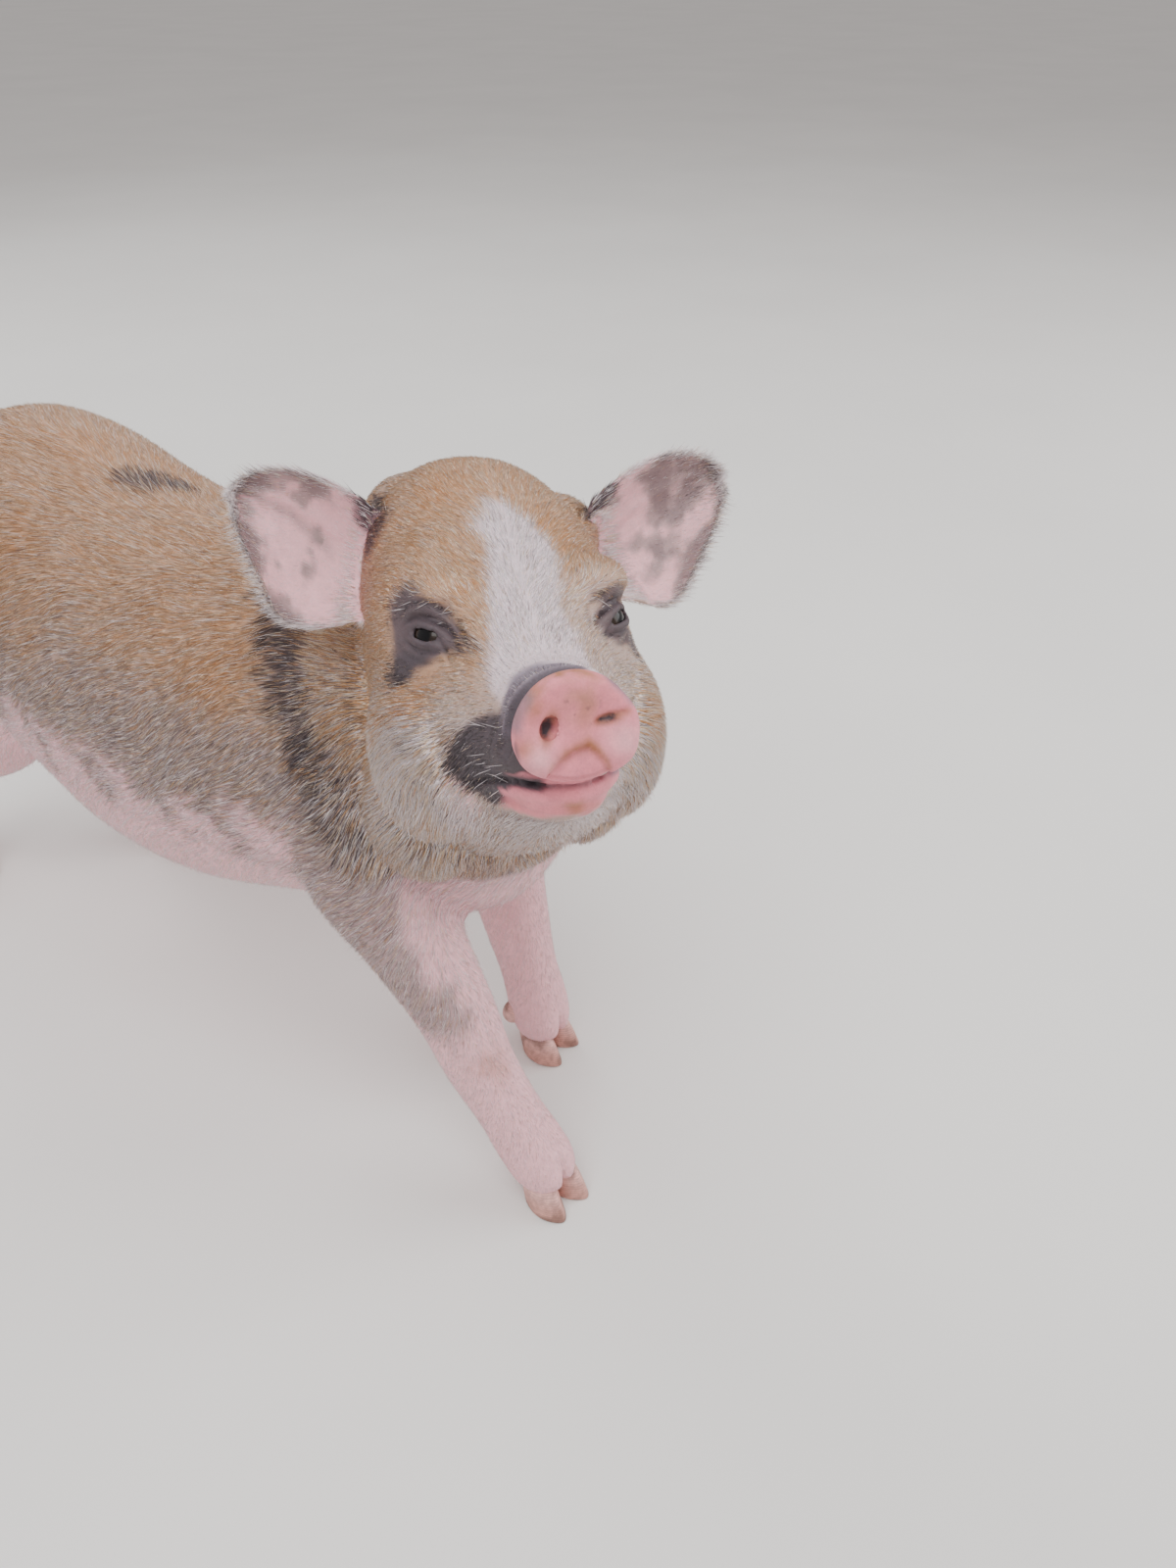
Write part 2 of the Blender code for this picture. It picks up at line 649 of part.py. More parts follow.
class Workshop:
    """Holds the model's two collections and does each cut as a Boolean that is then applied."""

    def __init__(self):
        self.model = bpy.data.collections.new("minipig")
        self.cutters = bpy.data.collections.new("minipig_cutters")
        bpy.context.scene.collection.children.link(self.model)
        bpy.context.scene.collection.children.link(self.cutters)
        self.cutters.hide_render = True

    def add(self, name, mesh, collection=None):
        obj = bpy.data.objects.new(name, mesh)
        (collection or self.model).objects.link(obj)
        return obj

    def apply(self, obj):
        """Replaces the object's mesh by the one that its modifiers make."""
        graph = bpy.context.evaluated_depsgraph_get()
        mesh = bpy.data.meshes.new_from_object(obj.evaluated_get(graph))
        obj.modifiers.clear()
        old = obj.data
        obj.data = mesh
        bpy.data.meshes.remove(old)
        mesh.name = obj.name

    def cut(self, obj, mesh, operation="DIFFERENCE"):
        """Joins, keeps or removes what the mesh covers, and drops the mesh."""
        cutter = self.add("cutter", mesh, self.cutters)
        cutter.display_type = "WIRE"
        step = obj.modifiers.new("cut", "BOOLEAN")
        step.operation = operation
        step.solver = "MANIFOLD"
        step.object = cutter
        self.apply(obj)
        bpy.data.objects.remove(cutter, do_unlink=True)
        bpy.data.meshes.remove(mesh)

    def grown(self, obj, amount):
        """A copy of the object's mesh, pushed out along its normals."""
        copy = self.add("grown", obj.data.copy(), self.cutters)
        push = copy.modifiers.new("grow", "DISPLACE")
        push.strength = amount
        push.mid_level = 0
        graph = bpy.context.evaluated_depsgraph_get()
        mesh = bpy.data.meshes.new_from_object(copy.evaluated_get(graph))
        old = copy.data
        bpy.data.objects.remove(copy, do_unlink=True)
        bpy.data.meshes.remove(old)
        return mesh

    def largest(self, obj):
        """Keeps only the largest of the object's closed surfaces."""
        whole = bmesh.new()
        whole.from_mesh(obj.data)
        left = set(whole.verts)
        best = []
        while left:
            group = [left.pop()]
            for vert in group:
                for edge in vert.link_edges:
                    other = edge.other_vert(vert)
                    if other in left:
                        left.discard(other)
                        group.append(other)
            if len(group) > len(best):
                best = group
        keep = set(best)
        bmesh.ops.delete(whole, geom=[v for v in whole.verts if v not in keep], context="VERTS")
        whole.to_mesh(obj.data)
        whole.free()


def paint(obj, kind):
    colour, roughness = COLOURS[kind]
    material = bpy.data.materials.new(obj.name)
    material.use_nodes = True
    shader = material.node_tree.nodes["Principled BSDF"]
    shader.inputs["Base Color"].default_value = colour
    shader.inputs["Roughness"].default_value = roughness
    shader.inputs["Metallic"].default_value = 0
    obj.data.materials.clear()
    obj.data.materials.append(material)


def build_body(shop):
    """Fuses the forms into one body, thins it, and parts it into head, neck, torso and legs."""
    body = shop.add("torso", body_mesh())
    fuse = body.modifiers.new("fuse", "REMESH")
    fuse.mode = "VOXEL"
    fuse.voxel_size = VOXEL
    smooth = body.modifiers.new("smooth", "SMOOTH")
    smooth.factor = 0.5
    smooth.iterations = SMOOTH_PASSES
    thin = body.modifiers.new("thin", "DECIMATE")
    thin.ratio = KEEP_SHARE
    shop.apply(body)
    head = shop.add("head", body.data.copy())
    shop.cut(head, head_region(0), "INTERSECT")
    neck = shop.add("neck", body.data.copy())
    shop.cut(neck, front_region(0), "INTERSECT")
    shop.cut(neck, head_region(GAP))
    legs = {}
    for name, stations in LEG_STATIONS.items():
        leg = shop.add("leg_" + name, body.data.copy())
        shop.cut(leg, head_region(GAP))
        shop.cut(leg, front_region(GAP))
        shop.cut(leg, region_mesh(name, stations, 0), "INTERSECT")
        legs[name] = leg
    shop.cut(body, head_region(GAP))
    shop.cut(body, front_region(GAP))
    for name, stations in LEG_STATIONS.items():
        shop.cut(body, region_mesh(name, stations, GAP))
    return body, neck, head, legs


def build_face(shop, head):
    """Gives the head its lips, mouth, lids and the seat of its disc, and adds disc, eyes and ears."""
    place = head_matrix()
    for name, drop, inset, radius in (("upper", 0.0026, -0.0022, 0.0030), ("lower", -0.0030, -0.0036, 0.0034)):
        lip = lip_mesh(name, drop, inset, radius)
        lip.transform(place)
        shop.cut(head, lip, "UNION")
    for sign in (-1, 1):
        for depth, length, height, radius in ((0.0078, 0.0098, 0.0048, 0.0021),):
            lid = lid_mesh("lid", length, height, radius, depth)
            shop.cut(head, placed(lid, place @ eye_frame(sign)), "UNION")
    seat = box_mesh("seat", (DISC_BACK, -0.03, -0.0168), (0.16, 0.03, 0.04), place)
    shop.cut(head, seat)
    mouth = mouth_mesh()
    mouth.transform(place)
    shop.cut(head, mouth)
    disc = shop.add("snout_disc", round_mesh("disc", DISC, rings=8, sides=24))
    disc.data.transform(place)
    shop.cut(head, shop.grown(disc, GAP))
    for sign in (-1, 1):
        nostril = ellipsoid_mesh(
            "nostril",
            (NOSTRIL[0], sign * NOSTRIL[1], NOSTRIL[2]),
            (0.0060, 0.0032, 0.0044),
            Matrix.Rotation(math.radians(-14 * sign), 4, "X"),
            segments=12,
        )
        nostril.transform(place)
        shop.cut(disc, nostril)
    eyes = []
    for sign, side in ((-1, "right"), (1, "left")):
        frame = place @ eye_frame(sign)
        ball = ellipsoid_mesh("eye", (0, 0, 0), (EYE_RADIUS,) * 3, segments=12)
        eye = shop.add("eye_" + side, placed(ball, frame))
        room = ellipsoid_mesh("room", (0, 0, 0), (EYE_RADIUS + 0.0007,) * 3, segments=12)
        shop.cut(head, placed(room, frame))
        opening = almond_mesh("opening", 0.0078, 0.0036, 0.003, 0.030)
        shop.cut(head, placed(opening, frame))
        eyes.append(eye)
    ears = []
    clear = shop.add("clear", shop.grown(head, GAP), shop.cutters)
    for sign, side in ((-1, "right"), (1, "left")):
        ear = shop.add("ear_" + side, ear_mesh("ear", sign))
        shop.cut(ear, clear.data.copy())
        shop.largest(ear)
        ears.append(ear)
    bpy.data.objects.remove(clear, do_unlink=True)
    return disc, eyes, ears


def build_feet(shop, legs):
    """Adds the claws and dewclaws, and makes room for them in the legs."""
    claws = []
    for foot, leg in legs.items():
        for sign, side in ((-1, "right"), (1, "left")):
            for maker, kind in ((claw_mesh, "claw"), (dewclaw_mesh, "dewclaw")):
                name = f"{kind}_{foot}_{side}"
                shop.cut(leg, maker(name, foot, sign, GAP))
                claws.append(shop.add(name, maker(name, foot, sign)))
        shop.cut(leg, box_mesh("floor", (-0.2, -0.3, -0.1), (0.2, 0.4, 0.0012), Matrix.Identity(4)))
    return claws


def main():
    clear_scene()
    shop = Workshop()
    body, neck, head, legs = build_body(shop)
    disc, eyes, ears = build_face(shop, head)
    claws = build_feet(shop, legs)
    tail = shop.add("tail", tail_mesh())
    shop.cut(body, tail_mesh(GAP))
    for obj in (body, neck, head, tail, *legs.values()):
        shop.largest(obj)
        paint(obj, "coat")
    for obj in (disc, *ears):
        paint(obj, "pink")
    for obj in claws:
        paint(obj, "horn")
    for obj in eyes:
        paint(obj, "eye")
    for obj in shop.model.objects:
        obj.data.transform(Matrix.Translation(FRAME_SHIFT))
        obj.data.shade_smooth()


if __name__ == "__main__":
    main()
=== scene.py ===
"""The looks of a young spotted miniature pig, standing with its head raised, as a life-size still model.

Metres, +Z up. The pig faces -Y, +X is its left side, and its claws stand on z = 0.
One skin stands for the flesh of the model. Over it lies a short coat of tapered tufts.
"""

import itertools
import math

import bpy
import numpy as np
from mathutils import Matrix, Vector


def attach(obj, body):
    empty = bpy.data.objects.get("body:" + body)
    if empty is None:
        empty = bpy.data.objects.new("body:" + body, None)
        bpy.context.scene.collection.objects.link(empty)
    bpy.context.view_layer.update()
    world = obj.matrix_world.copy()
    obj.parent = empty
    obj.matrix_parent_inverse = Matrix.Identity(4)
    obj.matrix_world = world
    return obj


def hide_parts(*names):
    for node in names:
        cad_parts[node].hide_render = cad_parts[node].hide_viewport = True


bl_info = {
    "name": "Spotted miniature pig",
    "version": (1, 0, 0),
    "blender": (4, 5, 0),
    "location": "View3D > Sidebar > Pig",
    "description": "Builds the skin, coat, eyes and claws of a young pig around its solids",
    "category": "Add Mesh",
}

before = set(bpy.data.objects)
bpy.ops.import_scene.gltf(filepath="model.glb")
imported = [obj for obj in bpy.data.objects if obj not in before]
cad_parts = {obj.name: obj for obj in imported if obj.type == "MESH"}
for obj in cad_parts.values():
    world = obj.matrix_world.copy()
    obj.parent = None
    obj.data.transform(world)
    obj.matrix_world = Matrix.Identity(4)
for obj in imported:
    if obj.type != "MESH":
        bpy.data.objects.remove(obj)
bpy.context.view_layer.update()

# The camera stands where the photo was taken from
CAMERA_PLACE = (-0.2740, -0.3723, 0.4286)
CAMERA_HEADING = math.radians(36)
CAMERA_DIP = math.radians(35)
CAMERA_FIELD = math.radians(65)
SENSOR_HEIGHT = 36

# The stations below are given before this shift, as the solids' are
SHIFT = np.array((0.0056, -0.0867, 0.0))

# The head's joint, the way that it looks, and its size against its stations
HEAD_JOINT = Vector((0.0024, -0.0368, 0.220))
HEAD_YAW = math.radians(38)
HEAD_PITCH = math.radians(19)
HEAD_ROLL = math.radians(-2)
HEAD_SIZE = 0.93
CROWN_LEAN = 0.09

# Each ear: its length, how far it lifts, and the depth and place of its lower lobe
EAR_LENGTHS = {-1: 0.060, 1: 0.062}
EAR_WIDTH = 0.050
EAR_THICKNESS = 0.0026
EAR_ROOT = (0.016, 0.0400, 0.0325)
EAR_LIFT = {-1: math.radians(18), 1: math.radians(11)}
EAR_LOBE = {-1: (0.0056, 0.61), 1: (0.0032, 0.50)}
EAR_FACING = (0.86, -0.10, 0.10)

# Each eye: its radius, its place, the way it faces, and how far its opening reaches
EYE_RADIUS = 0.0085
EYE_PLACE = (0.0697, 0.0252, 0.0195)
EYE_FACING = (0.62, 0.72, 0.30)
EYE_LENGTH = 0.0060
EYE_HEIGHTS = (0.0016, 0.0014)

# Each nostril in the head's axes: middle, radii, and how far it leans about the snout's axis in degrees
NOSTRILS = {
    -1: ((0.1390, -0.0081, 0.0036), (0.0085, 0.0013, 0.0028), -21),
    1: ((0.1390, 0.0084, 0.0046), (0.0070, 0.0021, 0.0009), 14),
}
CLAW_LENGTH = 0.021
CLAW_WIDTH = 0.0118
CLAW_HEIGHT = 0.0150

# How much of each ear's length is sunk in its root, and how far the wall of each eye's socket lies out
EAR_SUNK = 0.16
SOCKET_WALL = 0.0014
SOCKET_ROOM = 0.0003

# The slit between the lids: how far out of the eye, and how wide it is there
EYE_SLIT = ((0.0030, 0.85), (0.0085, 1.0), (0.0120, 1.25), (0.0200, 1.8))

# Levels of a claw: height, and length, width and lean there
CLAW_LEVELS = (
    (0.0, 0.93, 0.88, 0.0),
    (0.0006, 0.98, 0.97, 0.0),
    (0.0014, 1.0, 1.0, 0.0),
    (0.0085, 0.94, 0.96, 0.0022),
    (0.0130, 0.80, 0.84, 0.0040),
    (CLAW_HEIGHT, 0.52, 0.60, 0.0055),
)

# Levels of a dewclaw: height and radius
DEWCLAW_LEVELS = (
    (0.0064, 0.0008),
    (0.0050, 0.0026),
    (0.0020, 0.0040),
    (-0.0030, 0.0036),
    (-0.0064, 0.0016),
)

# Cells in which the skin's forms are fused and its face is cut, and the most triangles of skin and piece
FUSE_CELL = 0.0020
FACE_CELL = 0.00085
SKIN_TRIANGLES = 150000
PIECE_TRIANGLES = 190000

# Height of the line that the trunk's flat maps are rolled open about
TRUNK_AXIS = 0.165

# Lengths of the short coat and of the long hairs, before they vary
SHORT = {"head": 0.0052, "trunk": 0.0074, "leg": 0.0042, "ear": 0.0026, "tail": 0.0050}
LONG = {"head": 0.0085, "trunk": 0.0100, "muzzle": 0.0095, "brow": 0.0062, "ear": 0.0058, "tail": 0.0150}

# Width and lift of the long hairs
LONG_WIDTH = 0.00017
LONG_LIFT = 0.34

# Brightness of each corner of a tuft, from its root to its tip: painted shade at the root, among the
# other hairs, and painted light at the tip
TUFT_SHADES = (0.80, 0.80, 0.80, 0.97, 0.97, 0.97, 1.08)

# Where the lamps point, and how bright the light all round is
LAMP_AIM = (0, -0.1, 0.15)
STUDIO_GLOW = 0.56
FLOOR_TINT = (0.80, 0.79, 0.77, 1)

# How deep the skin lies under the solids' surface
DEPTH_TRUNK = 0.0016
DEPTH_HEAD = 0.0008
DEPTH_LEG = 0.0005

# Stations of the trunk: along, top, bottom, half width
TRUNK = (
    (-0.062, 0.18, 0.14, 0.02),
    (-0.054, 0.202, 0.124, 0.036),
    (-0.034, 0.23, 0.115, 0.05),
    (-0.006, 0.246, 0.108, 0.061),
    (0.032, 0.246, 0.098, 0.069),
    (0.078, 0.24, 0.084, 0.073),
    (0.124, 0.241, 0.081, 0.073),
    (0.162, 0.248, 0.09, 0.07),
    (0.2, 0.258, 0.107, 0.068),
    (0.235, 0.256, 0.125, 0.063),
    (0.262, 0.232, 0.145, 0.05),
    (0.276, 0.202, 0.165, 0.026),
)

# Stations of the skull in the head's axes: ahead, top, bottom, half width
SKULL = (
    (-0.04, 0.042, -0.046, 0.03),
    (-0.026, 0.058, -0.062, 0.04),
    (-0.004, 0.07, -0.068, 0.0448),
    (0.02, 0.074, -0.068, 0.046),
    (0.038, 0.069, -0.065, 0.046),
    (0.053, 0.059, -0.06, 0.044),
    (0.068, 0.045, -0.053, 0.04),
    (0.082, 0.031, -0.046, 0.0335),
    (0.095, 0.021, -0.038, 0.0265),
    (0.106, 0.015, -0.03, 0.0205),
    (0.113, 0.009, -0.022, 0.012),
)

# Stations of muzzle, snout disc and lower jaw: ahead, middle height, half width, half height
MUZZLE = (
    (0.06, 0.0, 0.018, 0.018),
    (0.08, 0.0, 0.02, 0.0195),
    (0.1, 0.0016, 0.0182, 0.017),
    (0.118, 0.0024, 0.0166, 0.015),
    (0.128, 0.0024, 0.0166, 0.0148),
    (0.1345, 0.0024, 0.017, 0.015),
    (0.1365, 0.0024, 0.016, 0.0142),
)
DISC = (
    (0.124, 0.0024, 0.0138, 0.0124),
    (0.1288, 0.0024, 0.0158, 0.0144),
    (0.131, 0.0024, 0.017, 0.0154),
    (0.1345, 0.0024, 0.0177, 0.0159),
    (0.1372, 0.0024, 0.0175, 0.0157),
    (0.1385, 0.0024, 0.0164, 0.0146),
    (0.1388, 0.0024, 0.0142, 0.0126),
)
JAW = (
    (0.04, -0.04, 0.026, 0.02),
    (0.07, -0.034, 0.024, 0.017),
    (0.095, -0.0265, 0.0195, 0.013),
    (0.112, -0.0228, 0.0155, 0.0094),
    (0.122, -0.0214, 0.0122, 0.0072),
    (0.127, -0.0208, 0.007, 0.0048),
)

# The neck: its start in the chest, its end in the head's axes, and how its middle is shifted
NECK_START = (0, 0.010, 0.160)
NECK_END = (0.012, 0, -0.010)
NECK_BEND = (0, -0.010, 0.002)

# Half width of the neck, and its height above and below its line, at start, middle and end
NECK_SIZES = ((0.056, 0.074, 0.055), (0.048, 0.078, 0.056), (0.042, 0.070, 0.052))

# Half the height and half the depth of the mouth's cut
MOUTH_CUT = (0.0010, 0.0068)

# Each lip: how far above the mouth's line it lies, how far ahead, and its radius
LIPS = ((0.0026, -0.0022, 0.0030), (-0.0030, -0.0036, 0.0034))
LIP_REACH = 0.0262

# The line of the mouth, from the middle to the pig's left corner
MOUTH = (
    (0.13, 0.0, -0.0156),
    (0.127, 0.0084, -0.0152),
    (0.119, 0.0155, -0.015),
    (0.107, 0.0208, -0.017),
    (0.094, 0.0256, -0.0215),
)

# Rounded forms of the face: middle and radii. Those of LUMPS are made on both sides
LUMPS = (
    ((0.058, 0.0260, 0.0320), (0.021, 0.0135, 0.0095)),
    ((0.050, 0.0305, -0.0180), (0.034, 0.0200, 0.0330)),
    ((0.104, 0.0145, -0.0085), (0.024, 0.0075, 0.0080)),
)
SIDE_LUMPS = (
    ((0.018, -0.0295, -0.0490), (0.034, 0.0225, 0.0265)),
    ((0.020, 0.0245, -0.0430), (0.034, 0.0205, 0.0250)),
    ((0.004, -0.0228, 0.0475), (0.030, 0.0205, 0.0230)),
    ((0.008, 0.0280, 0.0420), (0.024, 0.0160, 0.0180)),
)

# Stations of each leg: across, along, height, half width, half depth
LEGS = {
    "front_left": (
        (0.038, 0.010, 0.170, 0.026, 0.034),
        (0.042, 0.004, 0.140, 0.026, 0.031),
        (0.041, -0.001, 0.115, 0.0215, 0.0240),
        (0.038, -0.010, 0.088, 0.0165, 0.0180),
        (0.036, -0.018, 0.062, 0.0140, 0.0150),
        (0.035, -0.024, 0.043, 0.0128, 0.0130),
        (0.034, -0.029, 0.028, 0.0138, 0.0135),
        (0.033, -0.033, 0.016, 0.0135, 0.0125),
        (0.033, -0.034, 0.009, 0.0100, 0.0090),
    ),
    "front_right": (
        (-0.038, 0.000, 0.170, 0.025, 0.032),
        (-0.042, -0.017, 0.142, 0.0235, 0.0275),
        (-0.041, -0.031, 0.120, 0.0195, 0.0215),
        (-0.039, -0.047, 0.092, 0.0155, 0.0165),
        (-0.037, -0.057, 0.065, 0.0138, 0.0142),
        (-0.034, -0.068, 0.043, 0.0128, 0.0130),
        (-0.032, -0.076, 0.028, 0.0138, 0.0135),
        (-0.031, -0.084, 0.016, 0.0135, 0.0125),
        (-0.031, -0.086, 0.009, 0.0100, 0.0090),
    ),
    "hind_left": (
        (0.036, 0.216, 0.180, 0.030, 0.046),
        (0.042, 0.214, 0.152, 0.029, 0.045),
        (0.044, 0.215, 0.124, 0.0240, 0.0360),
        (0.042, 0.227, 0.096, 0.0180, 0.0240),
        (0.040, 0.241, 0.073, 0.0145, 0.0170),
        (0.038, 0.241, 0.051, 0.0128, 0.0138),
        (0.037, 0.237, 0.032, 0.0136, 0.0136),
        (0.036, 0.231, 0.016, 0.0135, 0.0125),
        (0.036, 0.229, 0.009, 0.0100, 0.0090),
    ),
    "hind_right": (
        (-0.036, 0.218, 0.180, 0.030, 0.046),
        (-0.042, 0.222, 0.152, 0.029, 0.045),
        (-0.045, 0.236, 0.125, 0.0240, 0.0350),
        (-0.047, 0.264, 0.098, 0.0180, 0.0235),
        (-0.049, 0.290, 0.075, 0.0145, 0.0165),
        (-0.051, 0.300, 0.052, 0.0128, 0.0138),
        (-0.053, 0.302, 0.032, 0.0136, 0.0136),
        (-0.054, 0.299, 0.016, 0.0135, 0.0125),
        (-0.054, 0.297, 0.009, 0.0100, 0.0090),
    ),
}

# Each foot: across, along, and how far it turns out
FEET = {
    "front_left": (0.033, -0.0370, math.radians(4)),
    "front_right": (-0.031, -0.0890, math.radians(-3)),
    "hind_left": (0.036, 0.2260, math.radians(6)),
    "hind_right": (-0.054, 0.2940, math.radians(-6)),
}

# Stations of the tail: across, along, height, radius
TAIL = (
    (0.000, 0.254, 0.202, 0.0080),
    (0.000, 0.274, 0.198, 0.0062),
    (0.002, 0.287, 0.184, 0.0046),
    (0.004, 0.291, 0.158, 0.0036),
    (0.006, 0.289, 0.131, 0.0032),
    (0.008, 0.287, 0.108, 0.0034),
    (0.009, 0.287, 0.092, 0.0026),
    (0.010, 0.288, 0.084, 0.0014),
)

# Folds of the lids in the eye's axes: height, how it bends, reach, depth and width
LID_FOLDS = (
    (0.0052, -0.0030, 0.0130, 0.0014, 0.0009),
    (0.0094, -0.0034, 0.0160, 0.0009, 0.0012),
    (-0.0049, 0.0026, 0.0115, 0.0009, 0.0008),
    (-0.0084, 0.0022, 0.0135, 0.0006, 0.0011),
)

# Folds of the cheeks in the head's axes, on both sides: start, end, depth and width
CHEEK_FOLDS = (
    ((0.0940, 0.0262, -0.0225), (0.0840, 0.0320, -0.0310), 0.0010, 0.0015),
    ((0.0840, 0.0320, -0.0310), (0.0760, 0.0320, -0.0400), 0.0007, 0.0018),
)

# The arch between the lobes of the disc: place to the left and height, in the head's axes
ARCH = (
    (-0.0105, -0.0110),
    (-0.0093, -0.0084),
    (-0.0064, -0.0060),
    (-0.0042, -0.0047),
    (-0.0014, -0.0034),
    (0.0028, -0.0024),
    (0.0051, -0.0047),
    (0.0072, -0.0077),
    (0.0085, -0.0105),
)

# Edges of the blaze in the head's axes: ahead, right edge, left edge
BLAZE = (
    (0.0500, -0.0025, -0.0010),
    (0.0553, -0.0062, 0.0037),
    (0.0582, -0.0081, 0.0072),
    (0.0622, -0.0098, 0.0097),
    (0.0660, -0.0098, 0.0125),
    (0.0700, -0.0091, 0.0128),
    (0.0778, -0.0080, 0.0102),
    (0.0820, -0.0098, 0.0100),
    (0.0870, -0.0132, 0.0112),
    (0.0945, -0.0150, 0.0150),
    (0.1100, -0.0150, 0.0185),
    (0.1300, -0.0150, 0.0190),
)

# Warm blotches of the forehead: middle and radius
FOREHEAD_BLOTCHES = (
    ((0.042, -0.017, 0.062), 0.010),
    ((0.058, 0.017, 0.050), 0.009),
    ((0.020, -0.008, 0.073), 0.010),
)

# Warm blotches of the cheeks: start, end, radius and strength
CHEEK_BLOTCHES = (
    ((0.060, -0.0420, -0.002), (0.080, -0.033, 0.007), 0.0075, 0.65),
    ((0.050, 0.0440, -0.004), (0.078, 0.0400, -0.008), 0.0080, 0.60),
)

# Dark patches of the face seen from its side: ahead and height of each corner
RIGHT_LID = (
    (0.0560, 0.0320), (0.0686, 0.0358), (0.0755, 0.0355), (0.0787, 0.0325),
    (0.0791, 0.0286), (0.0829, 0.0260), (0.0881, 0.0221), (0.0945, 0.0180),
    (0.0905, 0.0176), (0.0859, 0.0188), (0.0823, 0.0178), (0.0801, 0.0160),
    (0.0760, 0.0120), (0.0707, 0.0090), (0.0640, 0.0080), (0.0595, 0.0105),
    (0.0618, 0.0160), (0.0625, 0.0206), (0.0585, 0.0250),
)
UNDER_LID = (
    (0.0620, 0.0175), (0.0700, 0.0165), (0.0770, 0.0155), (0.0760, 0.0125),
    (0.0707, 0.0092), (0.0640, 0.0082), (0.0605, 0.0110),
)
LEFT_LID = (
    (0.0800, 0.0290), (0.0740, 0.0325), (0.0690, 0.0300), (0.0640, 0.0240),
    (0.0610, 0.0160), (0.0580, 0.0080), (0.0640, 0.0055), (0.0700, 0.0095),
    (0.0760, 0.0150), (0.0820, 0.0172), (0.0812, 0.0230),
)
MUZZLE_PATCH = (
    (0.1082, 0.0030), (0.1000, -0.0002), (0.0922, -0.0032), (0.0912, -0.0075),
    (0.0902, -0.0122), (0.0882, -0.0157), (0.0904, -0.0184), (0.0951, -0.0197),
    (0.1002, -0.0213), (0.1016, -0.0242), (0.1085, -0.0235), (0.1164, -0.0200),
    (0.1235, -0.0180), (0.1300, -0.0140), (0.1300, 0.0010), (0.1220, 0.0040),
    (0.1130, 0.0035),
)

# Dark blotches of neck and back, before the shift: start, end and radius
NECK_BLOTCHES = (
    ((-0.030, 0.032, 0.238), (-0.043, 0.012, 0.230), 0.0080),
    ((-0.048, 0.010, 0.222), (-0.054, -0.006, 0.205), 0.0088),
    ((-0.055, -0.010, 0.200), (-0.057, -0.016, 0.186), 0.0105),
    ((-0.056, -0.018, 0.182), (-0.054, -0.022, 0.168), 0.0080),
    ((0.002, 0.141, 0.243), (0.010, 0.134, 0.241), 0.0085),
    ((0.052, 0.010, 0.232), (0.060, 0.004, 0.206), 0.0100),
    ((0.058, 0.190, 0.222), (0.066, 0.205, 0.205), 0.0120),
)

# Each lamp: name, place, size and power
LAMPS = (
    ("key_light", (-0.8, -0.5, 1.8), 1.5, 36),
    ("fill_light", (1.2, -1.2, 1.1), 1.4, 22),
    ("rim_light", (0.3, 1.4, 1.4), 1.2, 13),
)

# The ridge behind the snout disc, in the head's axes: height, and how far ahead it lies there
RIDGE = ((0.001, 0.1180), (0.007, 0.1205), (0.011, 0.1220), (0.015, 0.1230))

# Height of the mouth's line in the head's axes, by how far ahead it lies
MOUTH_HEIGHTS = ((0.094, -0.0215), (0.107, -0.0170), (0.119, -0.0150), (0.130, -0.0156))

# How far inward each dark lid reaches from the side of the head, by how far ahead
LID_INNER = ((0.060, 0.0300), (0.075, 0.0235), (0.080, 0.0200), (0.095, 0.0150))

# Lowest place of the blaze, by how far ahead
BLAZE_FLOOR = ((0.04, 0.030), (0.06, 0.026), (0.08, 0.016), (0.095, 0.006), (0.11, 0.000))

# How far out the grey of the right fore leg begins, by height
LEG_GREY = ((0.09, -0.0465), (0.10, -0.0480), (0.12, -0.0525), (0.135, -0.0550), (0.17, -0.0540))

# Half width, half height and middle height of the snout disc's face
DISC_FACE = (0.0177, 0.0159, 0.0024)

# Swellings of the disc: middle across and up, height, and reach
DISC_LOBES = (
    (-0.0122, -0.0040, 0.0020, 0.0046),
    (0.0116, -0.0040, 0.0020, 0.0046),
    (0.0125, 0.0040, 0.0014, 0.0046),
    (0.0010, 0.0130, 0.0010, 0.0050),
)

# Brown stains on the right of the disc: place, reach and strength
DISC_STAINS = (
    ((0.1388, -0.0112, 0.0090), 0.0036, 0.60),
    ((0.1380, -0.0150, -0.0004), 0.0028, 0.70),
)

# Dark spots at the roots of the ears: place in the head's axes, and radius
EAR_ROOT_SPOTS = (
    ((0.021, -0.0380, 0.0570), 0.0085),
    ((0.026, 0.0410, 0.0545), 0.0070),
)

# Colours of pupil, iris, the iris's rim and the white of the eye
EYE_TINTS = ((0.003, 0.003, 0.004), (0.030, 0.019, 0.014), (0.012, 0.009, 0.009), (0.060, 0.041, 0.040))

# Colours of the claws low down and high up, and of the mud on them
HORN_TINTS = ((0.60, 0.30, 0.25), (0.74, 0.42, 0.38), (0.13, 0.070, 0.050))

# Colours of hair, as linear red, green and blue
HAIR = {
    "white": (0.88, 0.80, 0.82),
    "cream": (0.86, 0.68, 0.52),
    "tan": (0.68, 0.40, 0.21),
    "orange": (0.66, 0.31, 0.12),
    "grey": (0.30, 0.235, 0.225),
    "dark": (0.070, 0.054, 0.062),
}


def unit(rows):
    """Rows brought to length 1."""
    return rows / np.maximum(np.linalg.norm(rows, axis=-1, keepdims=True), 1e-12)


def step(value, low, high):
    """Rises smoothly from 0 at low to 1 at high, or falls where low is the greater."""
    t = np.clip((value - low) / (high - low), 0, 1)
    return t * t * (3 - 2 * t)


